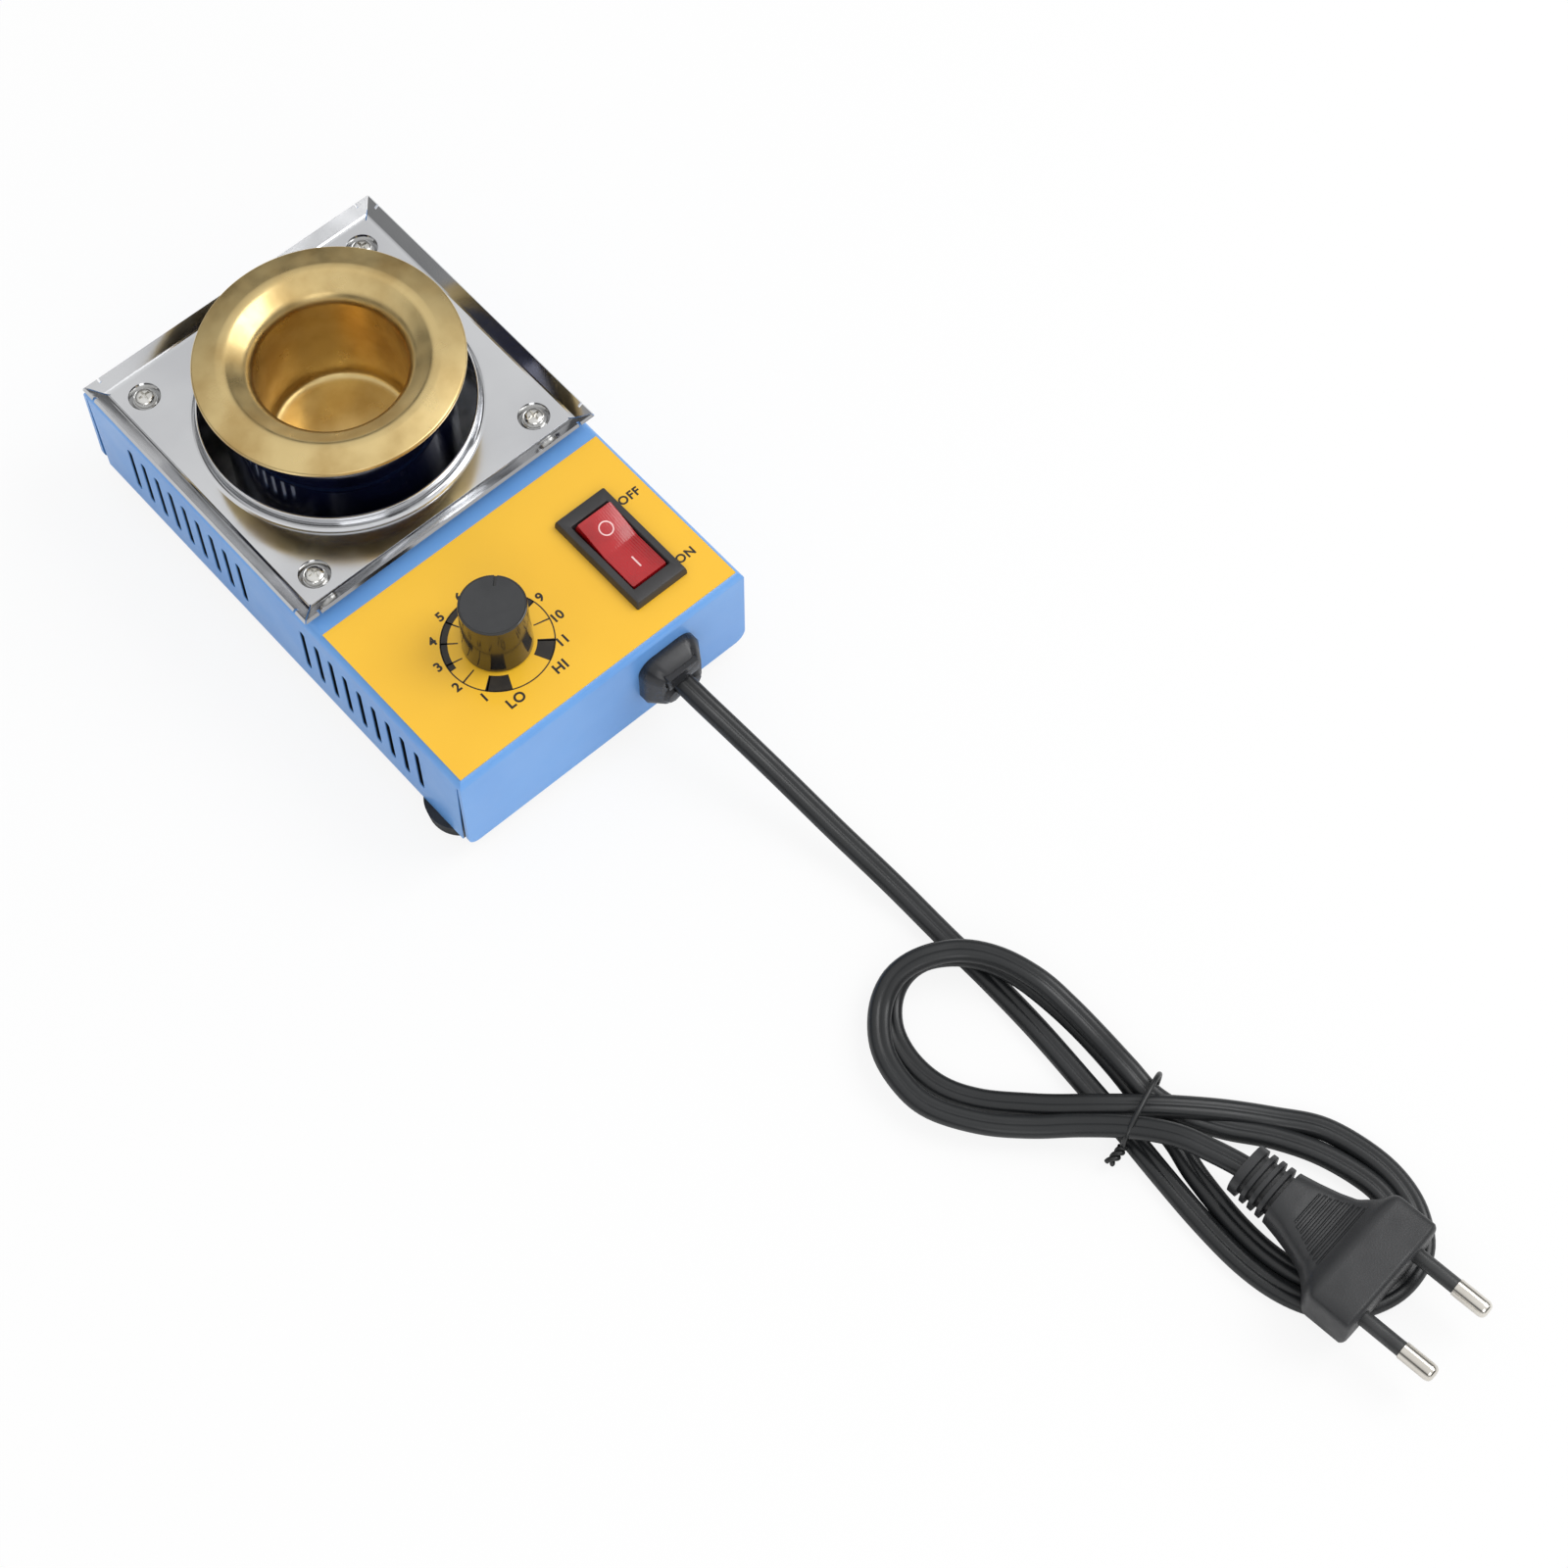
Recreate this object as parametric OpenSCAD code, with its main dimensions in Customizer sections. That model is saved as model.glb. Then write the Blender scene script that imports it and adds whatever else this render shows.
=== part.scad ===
// Bench solder pot: a folded sheet housing with a steel tray, a heated crucible
// in a steel can, a dial, a rocker switch and a mains lead with a flat plug.
// +X is the width, -Y the end that the lead leaves, +Z up; the feet stand on z = 0.

/* [Housing] */
// Width of the folded housing
body_w = 80; // [78:1:100]
// Length of the folded housing
body_l = 135; // [132:1:170]
// Height of the folded housing without its feet
body_h = 27.5; // [26.5:0.5:36]
// Thickness of the housing sheet
sheet_t = 1; // [0.8:0.1:1.3]
// Outside radius of the folded edges
bend_r = 2; // [1.5:0.1:3]
// Radius of the lower corners of the end walls
end_corner_r = 3; // [1:0.5:4]
// Width of the open corner seam at the top
seam_top = 0.4; // [0.2:0.1:0.8]
// Width of the open corner seam at the bottom
seam_bottom = 1.5; // [0.8:0.1:2]

/* [Vent slots] */
// Slots in each group on a side wall
slot_count = 9; // [5:1:9]
// Distance from one slot to the next
slot_pitch = 5; // [4:0.1:5.4]
// Width of a slot
slot_w = 1.8; // [1.2:0.1:2]
// Height of a slot
slot_h = 15.5; // [10:0.5:16]
// Height of the slots' middle above the lower edge of the housing
slot_mid = 13.2; // [12:0.2:13.6]
// Distance of each group's middle from the middle of the body
slot_group_y = 31.6; // [28:0.2:36]

/* [Bottom cover and feet] */
// Thickness of the bottom cover
cover_t = 1; // [0.8:0.1:1.3]
// Gap between the cover and the walls
cover_gap = 0.25; // [0.15:0.05:0.4]
// Height of the cover's folded sides
cover_side = 4; // [3:0.5:5]
// Radius of a rubber foot
foot_r = 8.2; // [7:0.1:8.6]
// Height of a rubber foot
foot_h = 5; // [4:0.5:8]
// Distance of the front feet from the middle line
front_foot_x = 33.8; // [31:0.2:34]
// Distance of the feet from the ends of the body
foot_inset = 11; // [10:0.5:13]
// Radius of a post between cover and top
post_r = 3; // [2.6:0.1:3.4]

/* [Tray] */
// Side of the tray's flat middle
tray_flat = 75; // [72:0.5:77]
// Thickness of the tray sheet
tray_t = 0.8; // [0.6:0.1:1]
// Gap under the tray's flat middle
tray_gap = 1.2; // [1:0.1:2]
// How far each lip reaches out
lip_out = 3.3; // [2.5:0.1:4]
// How far each lip rises
lip_up = 2.4; // [1:0.1:3.5]
// Opening between two lips at a corner
lip_gap = 0.2; // [0.2:0.1:1]
// Width of the notch near each lip end
notch_w = 0.6; // [0.4:0.1:1.2]
// Gap between the crucible's flange and the raised collar
collar_gap = 0.8; // [0.5:0.1:1.2]
// Height of the collar above the flat
collar_h = 3.4; // [2:0.2:4]
// Radius at the foot of the collar
collar_fillet = 1.5; // [1:0.1:2]
// Distance between two screws of the tray
tray_pitch = 62; // [60:0.5:63]
// Radius of the dimple round each screw
dimple_r = 4; // [3.6:0.1:4.4]

/* [Crucible] */
// Distance of the crucible's axis from the rear end of the body
pot_inset = 43; // [42.5:0.5:46]
// How far the flange reaches beyond the can
flange_over = 4; // [3.4:0.1:4.6]
// Thickness of the flange at its seat
flange_t = 3.4; // [3:0.1:4.5]
// Rise of the flange's underside towards its edge
flange_rise = 0.9; // [0.6:0.1:1.2]
// Height of the crest above the floor under the feet
crest_z = 54.6; // [53:0.2:62]
// Width of the flange's sloped outer band
outer_band_w = 6; // [4.6:0.1:6.4]
// Width of the hollow band between the bore and the crest
cove_w = 6.2; // [5.6:0.1:6.6]
// Width of the step above the bore
step_w = 1.8; // [1.4:0.1:2.2]
// Radius of the cup's bore
cup_r = 17.1; // [16.4:0.1:17.4]
// Depth of the cup below the crest
cup_depth = 31.6; // [28:0.2:32]
// Wall of the cup
cup_wall = 2.9; // [2.6:0.1:3.3]
// Thickness of the cup's floor
cup_floor = 3.4; // [2.4:0.1:3.6]
// Radius between the cup's wall and floor
cup_fillet = 2.6; // [1.5:0.1:4]

/* [Heater] */
// Thickness of the insulation round the heater band
insulation_t = 3; // [2.6:0.1:3.3]
// Wall of the heater can
can_t = 0.6; // [0.5:0.05:0.8]
// Height of the can's floor above the cover
can_lift = 4; // [3.8:0.1:5]
// Thickness of the heater band
band_t = 2.1; // [1.6:0.1:2.3]
// Height of the heater band
band_h = 22; // [16:1:24]
// Clearance between nested parts of the heater
nest_gap = 0.2; // [0.1:0.05:0.25]
// Radius of the spigot under the cup
spigot_r = 2.5; // [2:0.1:3]

/* [Control panel] */
// Length of the panel label
label_l = 47.4; // [46:0.2:49]
// Margin between the label and the edges of the body
label_margin = 1.3; // [1:0.1:2]
// Thickness of the label
label_t = 0.25; // [0.15:0.05:0.4]
// Distance of the dial and the switch from the front end
control_inset = 22.3; // [21.5:0.1:23]
// Sideways place of the knob's axis
knob_x = -11.3; // [-13:0.1:-10]
// Radius of the knob at its foot
knob_r = 7.85; // [7.4:0.05:8.4]
// Radius of the knob at its top
knob_top_r = 7.5; // [7:0.05:7.8]
// Height of the knob
knob_h = 15.1; // [14:0.1:18]
// Gap between the knob and the label
knob_gap = 0.5; // [0.3:0.1:1]
// Angle of the pointer from +X
pointer_angle = 45; // [0:1:90]
// Radius of the potentiometer shaft
shaft_r = 3; // [2.8:0.05:3.1]
// Radial running clearance of shafts and pivots
run_gap = 0.05; // [0.03:0.01:0.08]

/* [Rocker switch] */
// Sideways place of the switch
switch_x = 23.6; // [22:0.1:25]
// Width of the bezel
bezel_w = 14.4; // [14:0.1:15.4]
// Length of the bezel
bezel_l = 28.5; // [27.6:0.1:30]
// Height of the bezel above the label
bezel_h = 2.2; // [1.8:0.1:2.8]
// Width of the rocker
rocker_w = 9.4; // [8.6:0.1:9.8]
// Radius of the rocker's round ends
rocker_r = 10.2; // [9.4:0.1:10.4]
// Clearance round the rocker
rocker_gap = 0.35; // [0.3:0.05:0.5]
// Tilt of the rocker to each side
rocker_tilt = 8; // [6:0.5:9]
// Slope of each half of the rocker's face
rocker_slope = 8; // [6:0.5:10]

/* [Strain relief] */
// Sideways place of the cable entry
relief_x = 17; // [15:0.5:18]
// Radius of the strain relief's head
relief_r = 7.8; // [7.2:0.1:8.2]
// Depth of the head in front of the wall
relief_d = 5.4; // [4:0.1:5.8]

/* [Lead] */
// Width of the flat lead
cord_w = 5.2; // [4.8:0.1:5.6]
// Thickness of the flat lead
cord_t = 3.4; // [3:0.1:3.6]

/* [Plug] */
// Distance between the pins
pin_pitch = 18; // [17.4:0.1:19]
// Radius of a pin
pin_r = 2; // [1.9:0.05:2.1]
// Length of the pins
pin_l = 18.2; // [17.6:0.1:19.4]
// Outside radius of the sleeve at the root of a pin
sleeve_r = 1.75; // [1.65:0.05:1.8]
// Width of the plug's block
plug_w = 30; // [28:0.5:34]
// Height of the plug's block
plug_h = 12.6; // [12:0.2:13.6]

/* [Hidden] */
$fn = 64;
TINY = 0.01;
// Room between the collar and the hole in the housing under it
well_gap = 0.5;
// Room beside a screw head or a seated piece
seat_gap = 0.1;

// Heights and places that follow from the sizes above
top_z = foot_h + body_h;
under_top_z = top_z - sheet_t;
cover_top_z = foot_h + cover_t;
front_y = -body_l / 2;
rear_y = body_l / 2;
pot_y = rear_y - pot_inset;
control_y = front_y + control_inset;
label_z = top_z + label_t;
tray_z = top_z + tray_gap;
tray_top_z = tray_z + tray_t;
collar_top_z = tray_top_z + collar_h;
seat_z = crest_z - flange_t;
cup_floor_z = crest_z - cup_depth;
cup_bottom_z = cup_floor_z - cup_floor;
can_floor_z = cover_top_z + can_lift;

// Radii round the crucible's axis, each outside the one before
step_r = cup_r + step_w;
crest_in_r = cup_r + cove_w;
cup_out_r = cup_r + cup_wall;
band_in_r = cup_out_r + nest_gap;
band_out_r = band_in_r + band_t;
sleeve_in_r = band_out_r + nest_gap;
sleeve_out_r = sleeve_in_r + insulation_t;
can_in_r = sleeve_out_r + nest_gap;
can_r = can_in_r + can_t;
flange_r = can_r + flange_over;
crest_out_r = flange_r - outer_band_w;
collar_r = flange_r + collar_gap;
well_r = collar_r + well_gap;
standoff_at = can_in_r - 6;
foot_y = body_l / 2 - foot_inset;
rear_post_x = tray_pitch / 2;
rear_post_y = pot_y + tray_pitch / 2;
relief_z = foot_h + body_h / 2;
knob_z = label_z + knob_gap;
bezel_top_z = label_z + bezel_h;
pivot_z = bezel_top_z - 2.8;

// Screws: radius of the thread, of the head and of a clearance hole
screw_r = 1.5;
screw_head_r = 2.6;
screw_head_h = 1.8;
hole_r = 1.7;
// How far a screw reaches past the sheets, how deep a post is tapped, and the small nut
screw_reach = 5;
post_tap = 8;
nut_flats = 5.5;
nut_h = 2.4;

// Points of the lead's route, hand laid: down from the strain relief to the bench,
// under the bundle, and from the bundle to the plug
lead_route = [[0, 8.4, 0], [0, 1, 0], [0, -6, 0], [0.6, -12, -1.4], [2, -22, -4.6], [3.5, -35, -8.5],
    [5, -50, -12], [6.5, -68, -15], [7, -84, -16.6], [7.3, -98, -16.9], [7, -113, -16.9],
    [6, -128, -16.9], [5, -139, -16.9]];
tail_route = [[25, -208, 6], [27, -214, 8], [29.6, -222.8, 9.6], [31.8, -233.6, 9.9]];
left_loop = [[30.5, -194], [30.5, -180], [29, -168], [26, -161], [20, -156], [12, -154], [4, -156],
    [-2, -163], [-4, -172], [-2, -182], [3, -190], [12, -199], [20, -206], [27, -210]];
right_loop = [[28, -207], [24, -218], [22, -230], [21.5, -242], [23, -254], [28, -263],
    [36, -268.5], [45, -267.5], [51.5, -262], [54.5, -254], [53, -245], [48, -235],
    [42, -226], [35, -217]];
bundle_half = 5;
left_loop_h = 8.6;
right_loop_h = 3.5;
plug_at = [35.8, -271.4, right_loop_h + plug_h / 2 + 0.1];
plug_turn = 6;

// ---------- functions ----------

function unit(v) = v / norm(v);
function pick(list, i) = list[max(0, min(len(list) - 1, i))];
function wrap(list, i) = list[(i + len(list)) % len(list)];
function bezier(a, b, c, steps) =
    [for (k = [0 : steps]) let (t = k / steps) a * (1 - t) * (1 - t) + b * 2 * t * (1 - t) + c * t * t];
function spline(a, b, c, d, t) =
    0.5 * (2 * b + (c - a) * t + (2 * a - 5 * b + 4 * c - d) * t * t + (3 * b - a - 3 * c + d) * t * t * t);
function smooth(route, steps) = concat(
    [for (i = [0 : len(route) - 2]) for (k = [0 : steps - 1])
        spline(pick(route, i - 1), route[i], route[i + 1], pick(route, i + 2), k / steps)],
    [route[len(route) - 1]]);
function heading(path, i) = unit(pick(path, i + 1) - pick(path, i - 1));
// One ring of a flat lead: wide level, thin upright
function lead_ring(path, i, w, t, sides) =
    let (along = heading(path, i), across = unit(cross([0, 0, 1], along)), up = cross(along, across))
    [for (k = [0 : sides - 1])
        path[i] + across * w / 2 * cos(360 * k / sides) + up * t / 2 * sin(360 * k / sides)];

// ---------- shared shapes ----------

// Outline of a bent channel: flat foot, two round upper corners
module arch(w, h, r, drop = 0) {
    translate([-w / 2, -drop]) square([w, h - r + drop]);
    translate([-w / 2 + r, -drop]) square([w - 2 * r, h + drop]);
    for (s = [-1, 1]) translate([s * (w / 2 - r), h - r]) circle(r);
}

// Block with round upper edges on all four sides
module folded_block(w, l, h, r, drop = 0) {
    intersection() {
        rotate([90, 0, 0]) translate([0, 0, -l / 2]) linear_extrude(l) arch(w, h, r, drop);
        rotate([90, 0, 90]) translate([0, 0, -w / 2]) linear_extrude(w) arch(l, h, r, drop);
    }
}

// Upright slot with round ends
module slot_shape(w, h) {
    square([w, h - w], center = true);
    for (s = [-1, 1]) translate([0, s * (h - w) / 2]) circle(w / 2, $fn = 24);
}

module ring_tube(r_in, r_out, h) {
    difference() {
        cylinder(h = h, r = r_out);
        translate([0, 0, -1]) cylinder(h = h + 2, r = r_in);
    }
}

// Pan head screw, head up, with a cross recess; z = 0 is under the head
module pan_screw(shank_l) {
    difference() {
        union() {
            rotate_extrude() polygon(concat([[0, 0], [screw_head_r, 0], [screw_head_r, 0.5]],
                bezier([screw_head_r, 0.5], [screw_head_r - 0.2, screw_head_h], [0.8, screw_head_h], 8),
                [[0, screw_head_h]]));
            translate([0, 0, -shank_l]) cylinder(h = shank_l + TINY, r = screw_r);
        }
        for (a = [0, 90]) rotate([0, 0, a]) translate([-1.4, -0.3, screw_head_h - 0.9]) cube([2.8, 0.6, 1]);
    }
}

module hex_nut(flats, h, bore) {
    difference() {
        cylinder(h = h, r = flats / sqrt(3), $fn = 6);
        translate([0, 0, -1]) cylinder(h = h + 2, r = bore);
    }
}

// Flat lead swept along a path, as triangles between rings
module lead_tube(path, w, t, sides) {
    n = len(path);
    polyhedron(
        points = [for (i = [0 : n - 1]) each lead_ring(path, i, w, t, sides)],
        faces = concat(
            [[for (k = [0 : sides - 1]) k]],
            [for (i = [0 : n - 2]) for (k = [0 : sides - 1]) each
                let (a = i * sides + k, b = i * sides + (k + 1) % sides, c = b + sides, d = a + sides)
                [[a, c, b], [a, d, c]]],
            [[for (k = [sides - 1 : -1 : 0]) (n - 1) * sides + k]]));
}

module at_feet() {
    for (s = [-1, 1]) {
        translate([s * front_foot_x, -foot_y, 0]) children();
        translate([s * rear_post_x, rear_post_y, 0]) children();
    }
}

module at_tray_screws() {
    for (sx = [-1, 1], sy = [-1, 1])
        translate([sx * tray_pitch / 2, pot_y + sy * tray_pitch / 2, 0]) children();
}

module at_front_tray_screws() {
    for (sx = [-1, 1]) translate([sx * tray_pitch / 2, pot_y - tray_pitch / 2, 0]) children();
}

module at_can_standoffs() {
    for (a = [90, 210, 330]) translate([0, pot_y, 0]) rotate([0, 0, a]) translate([standoff_at, 0, 0]) children();
}

module at_board_posts() {
    for (sx = [-1, 1], sy = [-1, 1])
        translate([board_x + sx * (board_w / 2 - 3), board_y + sy * (board_l / 2 - 3), 0]) children();
}

// ---------- housing ----------

module vent_slots() {
    for (group = [-1, 1], i = [0 : slot_count - 1])
        translate([-body_w / 2 - 1, group * slot_group_y + (i - (slot_count - 1) / 2) * slot_pitch, foot_h + slot_mid])
            rotate([90, 0, 90]) linear_extrude(body_w + 2) slot_shape(slot_w, slot_h);
}

// Slits beside the end walls, wider towards the bottom
module corner_seams() {
    for (s = [-1, 1]) translate([-body_w / 2 - 1, 0, 0]) rotate([90, 0, 90]) linear_extrude(body_w + 2)
        polygon([[s * (body_l / 2 - sheet_t), top_z - bend_r], [s * (body_l / 2 - sheet_t - seam_top), top_z - bend_r],
            [s * (body_l / 2 - sheet_t - seam_bottom), foot_h - 1], [s * (body_l / 2 - sheet_t), foot_h - 1]]);
}

// What is cut off the lower corners of an end wall
module end_corners() {
    for (sx = [-1, 1], sy = [-1, 1]) translate([0, sy * (body_l / 2 - sheet_t / 2), 0])
        rotate([90, 0, 0]) translate([0, 0, -sheet_t / 2 - TINY]) linear_extrude(sheet_t + 2 * TINY) difference() {
            translate([sx * (body_w / 2 - end_corner_r / 2 + 0.5), foot_h + end_corner_r / 2 - 0.5])
                square(end_corner_r + 1, center = true);
            translate([sx * (body_w / 2 - end_corner_r), foot_h + end_corner_r]) circle(end_corner_r);
        }
}

module relief_outline(r, flat) {
    intersection() {
        circle(r);
        square([2 * r + 1, 2 * flat], center = true);
    }
}

module housing() {
    color("cornflowerblue") difference() {
        translate([0, 0, foot_h]) folded_block(body_w, body_l, body_h, bend_r);
        translate([0, 0, foot_h])
            folded_block(body_w - 2 * sheet_t, body_l - 2 * sheet_t, body_h - sheet_t, bend_r - sheet_t, 1);
        vent_slots();
        corner_seams();
        end_corners();
        translate([0, pot_y, under_top_z - 1]) cylinder(h = sheet_t + 2, r = well_r, $fn = 128);
        at_tray_screws() translate([0, 0, under_top_z - 1]) cylinder(h = sheet_t + 2, r = hole_r);
        translate([knob_x, control_y, under_top_z - 1]) cylinder(h = sheet_t + 2, r = bush_r + 0.15);
        translate([switch_x - switch_w / 2 - 0.15, control_y - switch_l / 2 - 0.15, under_top_z - 1])
            cube([switch_w + 0.3, switch_l + 0.3, sheet_t + 2]);
        translate([relief_x, front_y + sheet_t + 1, relief_z]) rotate([90, 0, 0])
            linear_extrude(sheet_t + 2) relief_outline(relief_barrel_r + 0.15, relief_flat + 0.15);
    }
}

module bottom_cover() {
    w = body_w - 2 * sheet_t - 2 * cover_gap;
    l = body_l - 2 * sheet_t - 2 * cover_gap;
    color("lightsteelblue") difference() {
        translate([0, 0, foot_h]) union() {
            translate([-w / 2, -l / 2, 0]) cube([w, l, cover_t]);
            for (s = [-1, 1]) translate([s * (w - cover_t) / 2 - cover_t / 2, -l / 2, 0])
                cube([cover_t, l, cover_side]);
        }
        at_feet() translate([0, 0, foot_h - 1]) cylinder(h = cover_t + 2, r = hole_r);
        at_can_standoffs() translate([0, 0, foot_h - 1]) cylinder(h = cover_t + 2, r = hole_r);
        // Rows of cooling slots under the can
        for (i = [-3 : 3], s = [-1, 1]) translate([s * 9, pot_y + i * 5, foot_h - 1])
            linear_extrude(cover_t + 2) rotate([0, 0, 90]) slot_shape(2, 12);
    }
}

module feet() {
    color("dimgray") at_feet() difference() {
        rotate_extrude() polygon(concat([[0, 0], [foot_r - 1.6, 0]],
            bezier([foot_r - 1.6, 0], [foot_r - 0.7, 0], [foot_r - 0.5, 1], 5), [[foot_r, foot_h], [0, foot_h]]));
        translate([0, 0, -1]) cylinder(h = foot_h + 2, r = hole_r);
        translate([0, 0, -1]) cylinder(h = foot_h / 2 + 1, r = screw_head_r + 0.8);
    }
}

module foot_screws() {
    color("silver") at_feet() translate([0, 0, foot_h / 2]) rotate([180, 0, 0]) pan_screw(foot_h / 2 + cover_t + screw_reach + 1);
}

module cover_posts() {
    color("gainsboro") at_feet() translate([0, 0, cover_top_z]) difference() {
        cylinder(h = under_top_z - cover_top_z, r = post_r);
        translate([0, 0, -1]) cylinder(h = post_tap + 1, r = screw_r + run_gap);
        translate([0, 0, under_top_z - cover_top_z - post_tap + 1]) cylinder(h = post_tap, r = screw_r + run_gap);
    }
}

// ---------- tray ----------

// Section of one lip: short flat root, round bend, straight slope
module lip_section() {
    slope = atan2(lip_up, lip_out);
    lower = concat([[tray_flat / 2 - 2, 0]], bezier([tray_flat / 2 - 0.8, 0], [tray_flat / 2, 0],
        [tray_flat / 2 + 0.8 * cos(slope), 0.8 * sin(slope)], 4), [[tray_flat / 2 + lip_out, lip_up]]);
    upper = [for (p = lower) p + (p[0] > tray_flat / 2 - 0.5 ? tray_t * [-sin(slope), cos(slope)] : [0, tray_t])];
    polygon(concat(lower, [for (i = [len(upper) - 1 : -1 : 0]) upper[i]]));
}

module lip() {
    far = tray_flat / 2 + lip_out + 1;
    near = tray_flat / 2 - 2;
    notch_at = tray_flat / 2 + lip_out - 4.2;
    difference() {
        intersection() {
            rotate([90, 0, 0]) translate([0, 0, -far]) linear_extrude(2 * far) lip_section();
            translate([0, 0, -1]) linear_extrude(lip_up + tray_t + 2)
                polygon([[near, -near + lip_gap], [far, -far + lip_gap], [far, far - lip_gap], [near, near - lip_gap]]);
        }
        for (s = [-1, 1]) translate([tray_flat / 2 + 2, s * notch_at - notch_w / 2, -1])
            cube([lip_out + 2, notch_w, lip_up + tray_t + 2]);
    }
}

module dimple() {
    floor_r = screw_head_r + seat_gap;
    rotate_extrude() polygon([[hole_r, -tray_gap], [floor_r + 0.3, -tray_gap], [dimple_r, 0], [dimple_r + 0.6, 0],
        [dimple_r + 0.6, tray_t], [dimple_r - 0.3, tray_t], [floor_r, tray_t - tray_gap],
        [hole_r, tray_t - tray_gap]]);
}

module tray() {
    color("lightgray") translate([0, pot_y, tray_z]) {
        difference() {
            union() {
                translate([-tray_flat / 2 + 1, -tray_flat / 2 + 1, 0]) cube([tray_flat - 2, tray_flat - 2, tray_t]);
                for (a = [0 : 90 : 270]) rotate([0, 0, a]) lip();
            }
            translate([0, 0, -1]) cylinder(h = tray_t + 2, r = collar_r + tray_t + collar_fillet - TINY, $fn = 128);
            for (sx = [-1, 1], sy = [-1, 1]) translate([sx * tray_pitch / 2, sy * tray_pitch / 2, -1])
                cylinder(h = tray_t + 2, r = dimple_r + 0.5);
        }
        for (sx = [-1, 1], sy = [-1, 1]) translate([sx * tray_pitch / 2, sy * tray_pitch / 2, 0]) dimple();
        // Collar drawn up from the flat, with a rounded foot and rim
        rotate_extrude($fn = 128) polygon(concat(
            [[collar_r + tray_t + collar_fillet, 0]],
            bezier([collar_r + tray_t, 0], [collar_r, 0], [collar_r, tray_t], 4),
            bezier([collar_r, tray_t + collar_h - 0.4], [collar_r, tray_t + collar_h],
                [collar_r + tray_t / 2, tray_t + collar_h], 4),
            bezier([collar_r + tray_t / 2, tray_t + collar_h], [collar_r + tray_t, tray_t + collar_h],
                [collar_r + tray_t, tray_t + collar_h - 0.4], 4),
            bezier([collar_r + tray_t, tray_t + collar_fillet], [collar_r + tray_t, tray_t],
                [collar_r + tray_t + collar_fillet, tray_t], 6)));
    }
}

module tray_screws() {
    color("silver") at_tray_screws() translate([0, 0, top_z + tray_t]) pan_screw(tray_t + sheet_t + screw_reach);
}

module tray_nuts() {
    color("silver") at_front_tray_screws() translate([0, 0, under_top_z - nut_h]) hex_nut(nut_flats, nut_h, screw_r + run_gap);
}

// ---------- heater and crucible ----------

module heater_can() {
    h = seat_z - can_floor_z;
    color("slategray") translate([0, pot_y, can_floor_z]) difference() {
        rotate_extrude($fn = 128) polygon(concat([[0, 0]], bezier([can_r - 2, 0], [can_r, 0], [can_r, 2], 6),
            [[can_r, h], [can_in_r, h]],
            bezier([can_in_r, 2], [can_in_r, can_t], [can_r - 2, can_t], 6), [[0, can_t]]));
        translate([0, 0, -1]) cylinder(h = can_t + 2, r = spigot_r + nest_gap);
        for (a = [90, 210, 330]) rotate([0, 0, a]) translate([standoff_at, 0, -1]) cylinder(h = can_t + 2, r = hole_r);
        for (s = [-1, 1]) translate([s * 5, -can_in_r + 7, -1]) cylinder(h = can_t + 2, r = 1.6);
    }
}

module can_standoffs() {
    color("gainsboro") at_can_standoffs() translate([0, 0, cover_top_z]) ring_tube(hole_r, post_r, can_lift);
}

module can_screws() {
    color("silver") at_can_standoffs() translate([0, 0, can_floor_z + can_t]) pan_screw(can_t + can_lift + cover_t + 0.6);
}

module insulation_pad() {
    z0 = can_floor_z + can_t;
    color("ivory") translate([0, pot_y, z0]) difference() {
        cylinder(h = cup_bottom_z - z0, r = sleeve_in_r - nest_gap);
        translate([0, 0, -1]) cylinder(h = 40, r = spigot_r + nest_gap);
        for (a = [90, 210, 330]) rotate([0, 0, a]) translate([standoff_at, 0, -1])
            cylinder(h = screw_head_h + 1.5, r = screw_head_r + 0.4);
    }
}

module insulation_sleeve() {
    z0 = can_floor_z + can_t + 1.6;
    color("white") translate([0, pot_y, z0]) ring_tube(sleeve_in_r, sleeve_out_r, seat_z - z0 - nest_gap);
}

module heater_band() {
    color("darkgray") translate([0, pot_y, cup_bottom_z + 3]) {
        difference() {
            ring_tube(band_in_r, band_out_r, band_h);
            translate([-2, -band_out_r - 1, -1]) cube([4, band_t + 2.6, band_h + 2]);
        }
    }
}

module band_screw() {
    color("silver") translate([0, pot_y - band_in_r - band_t / 2, cup_bottom_z + 3 + band_h / 2])
        rotate([0, 90, 0]) translate([0, 0, -2]) cylinder(h = 4, r = 0.9, $fn = 32);
}

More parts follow.
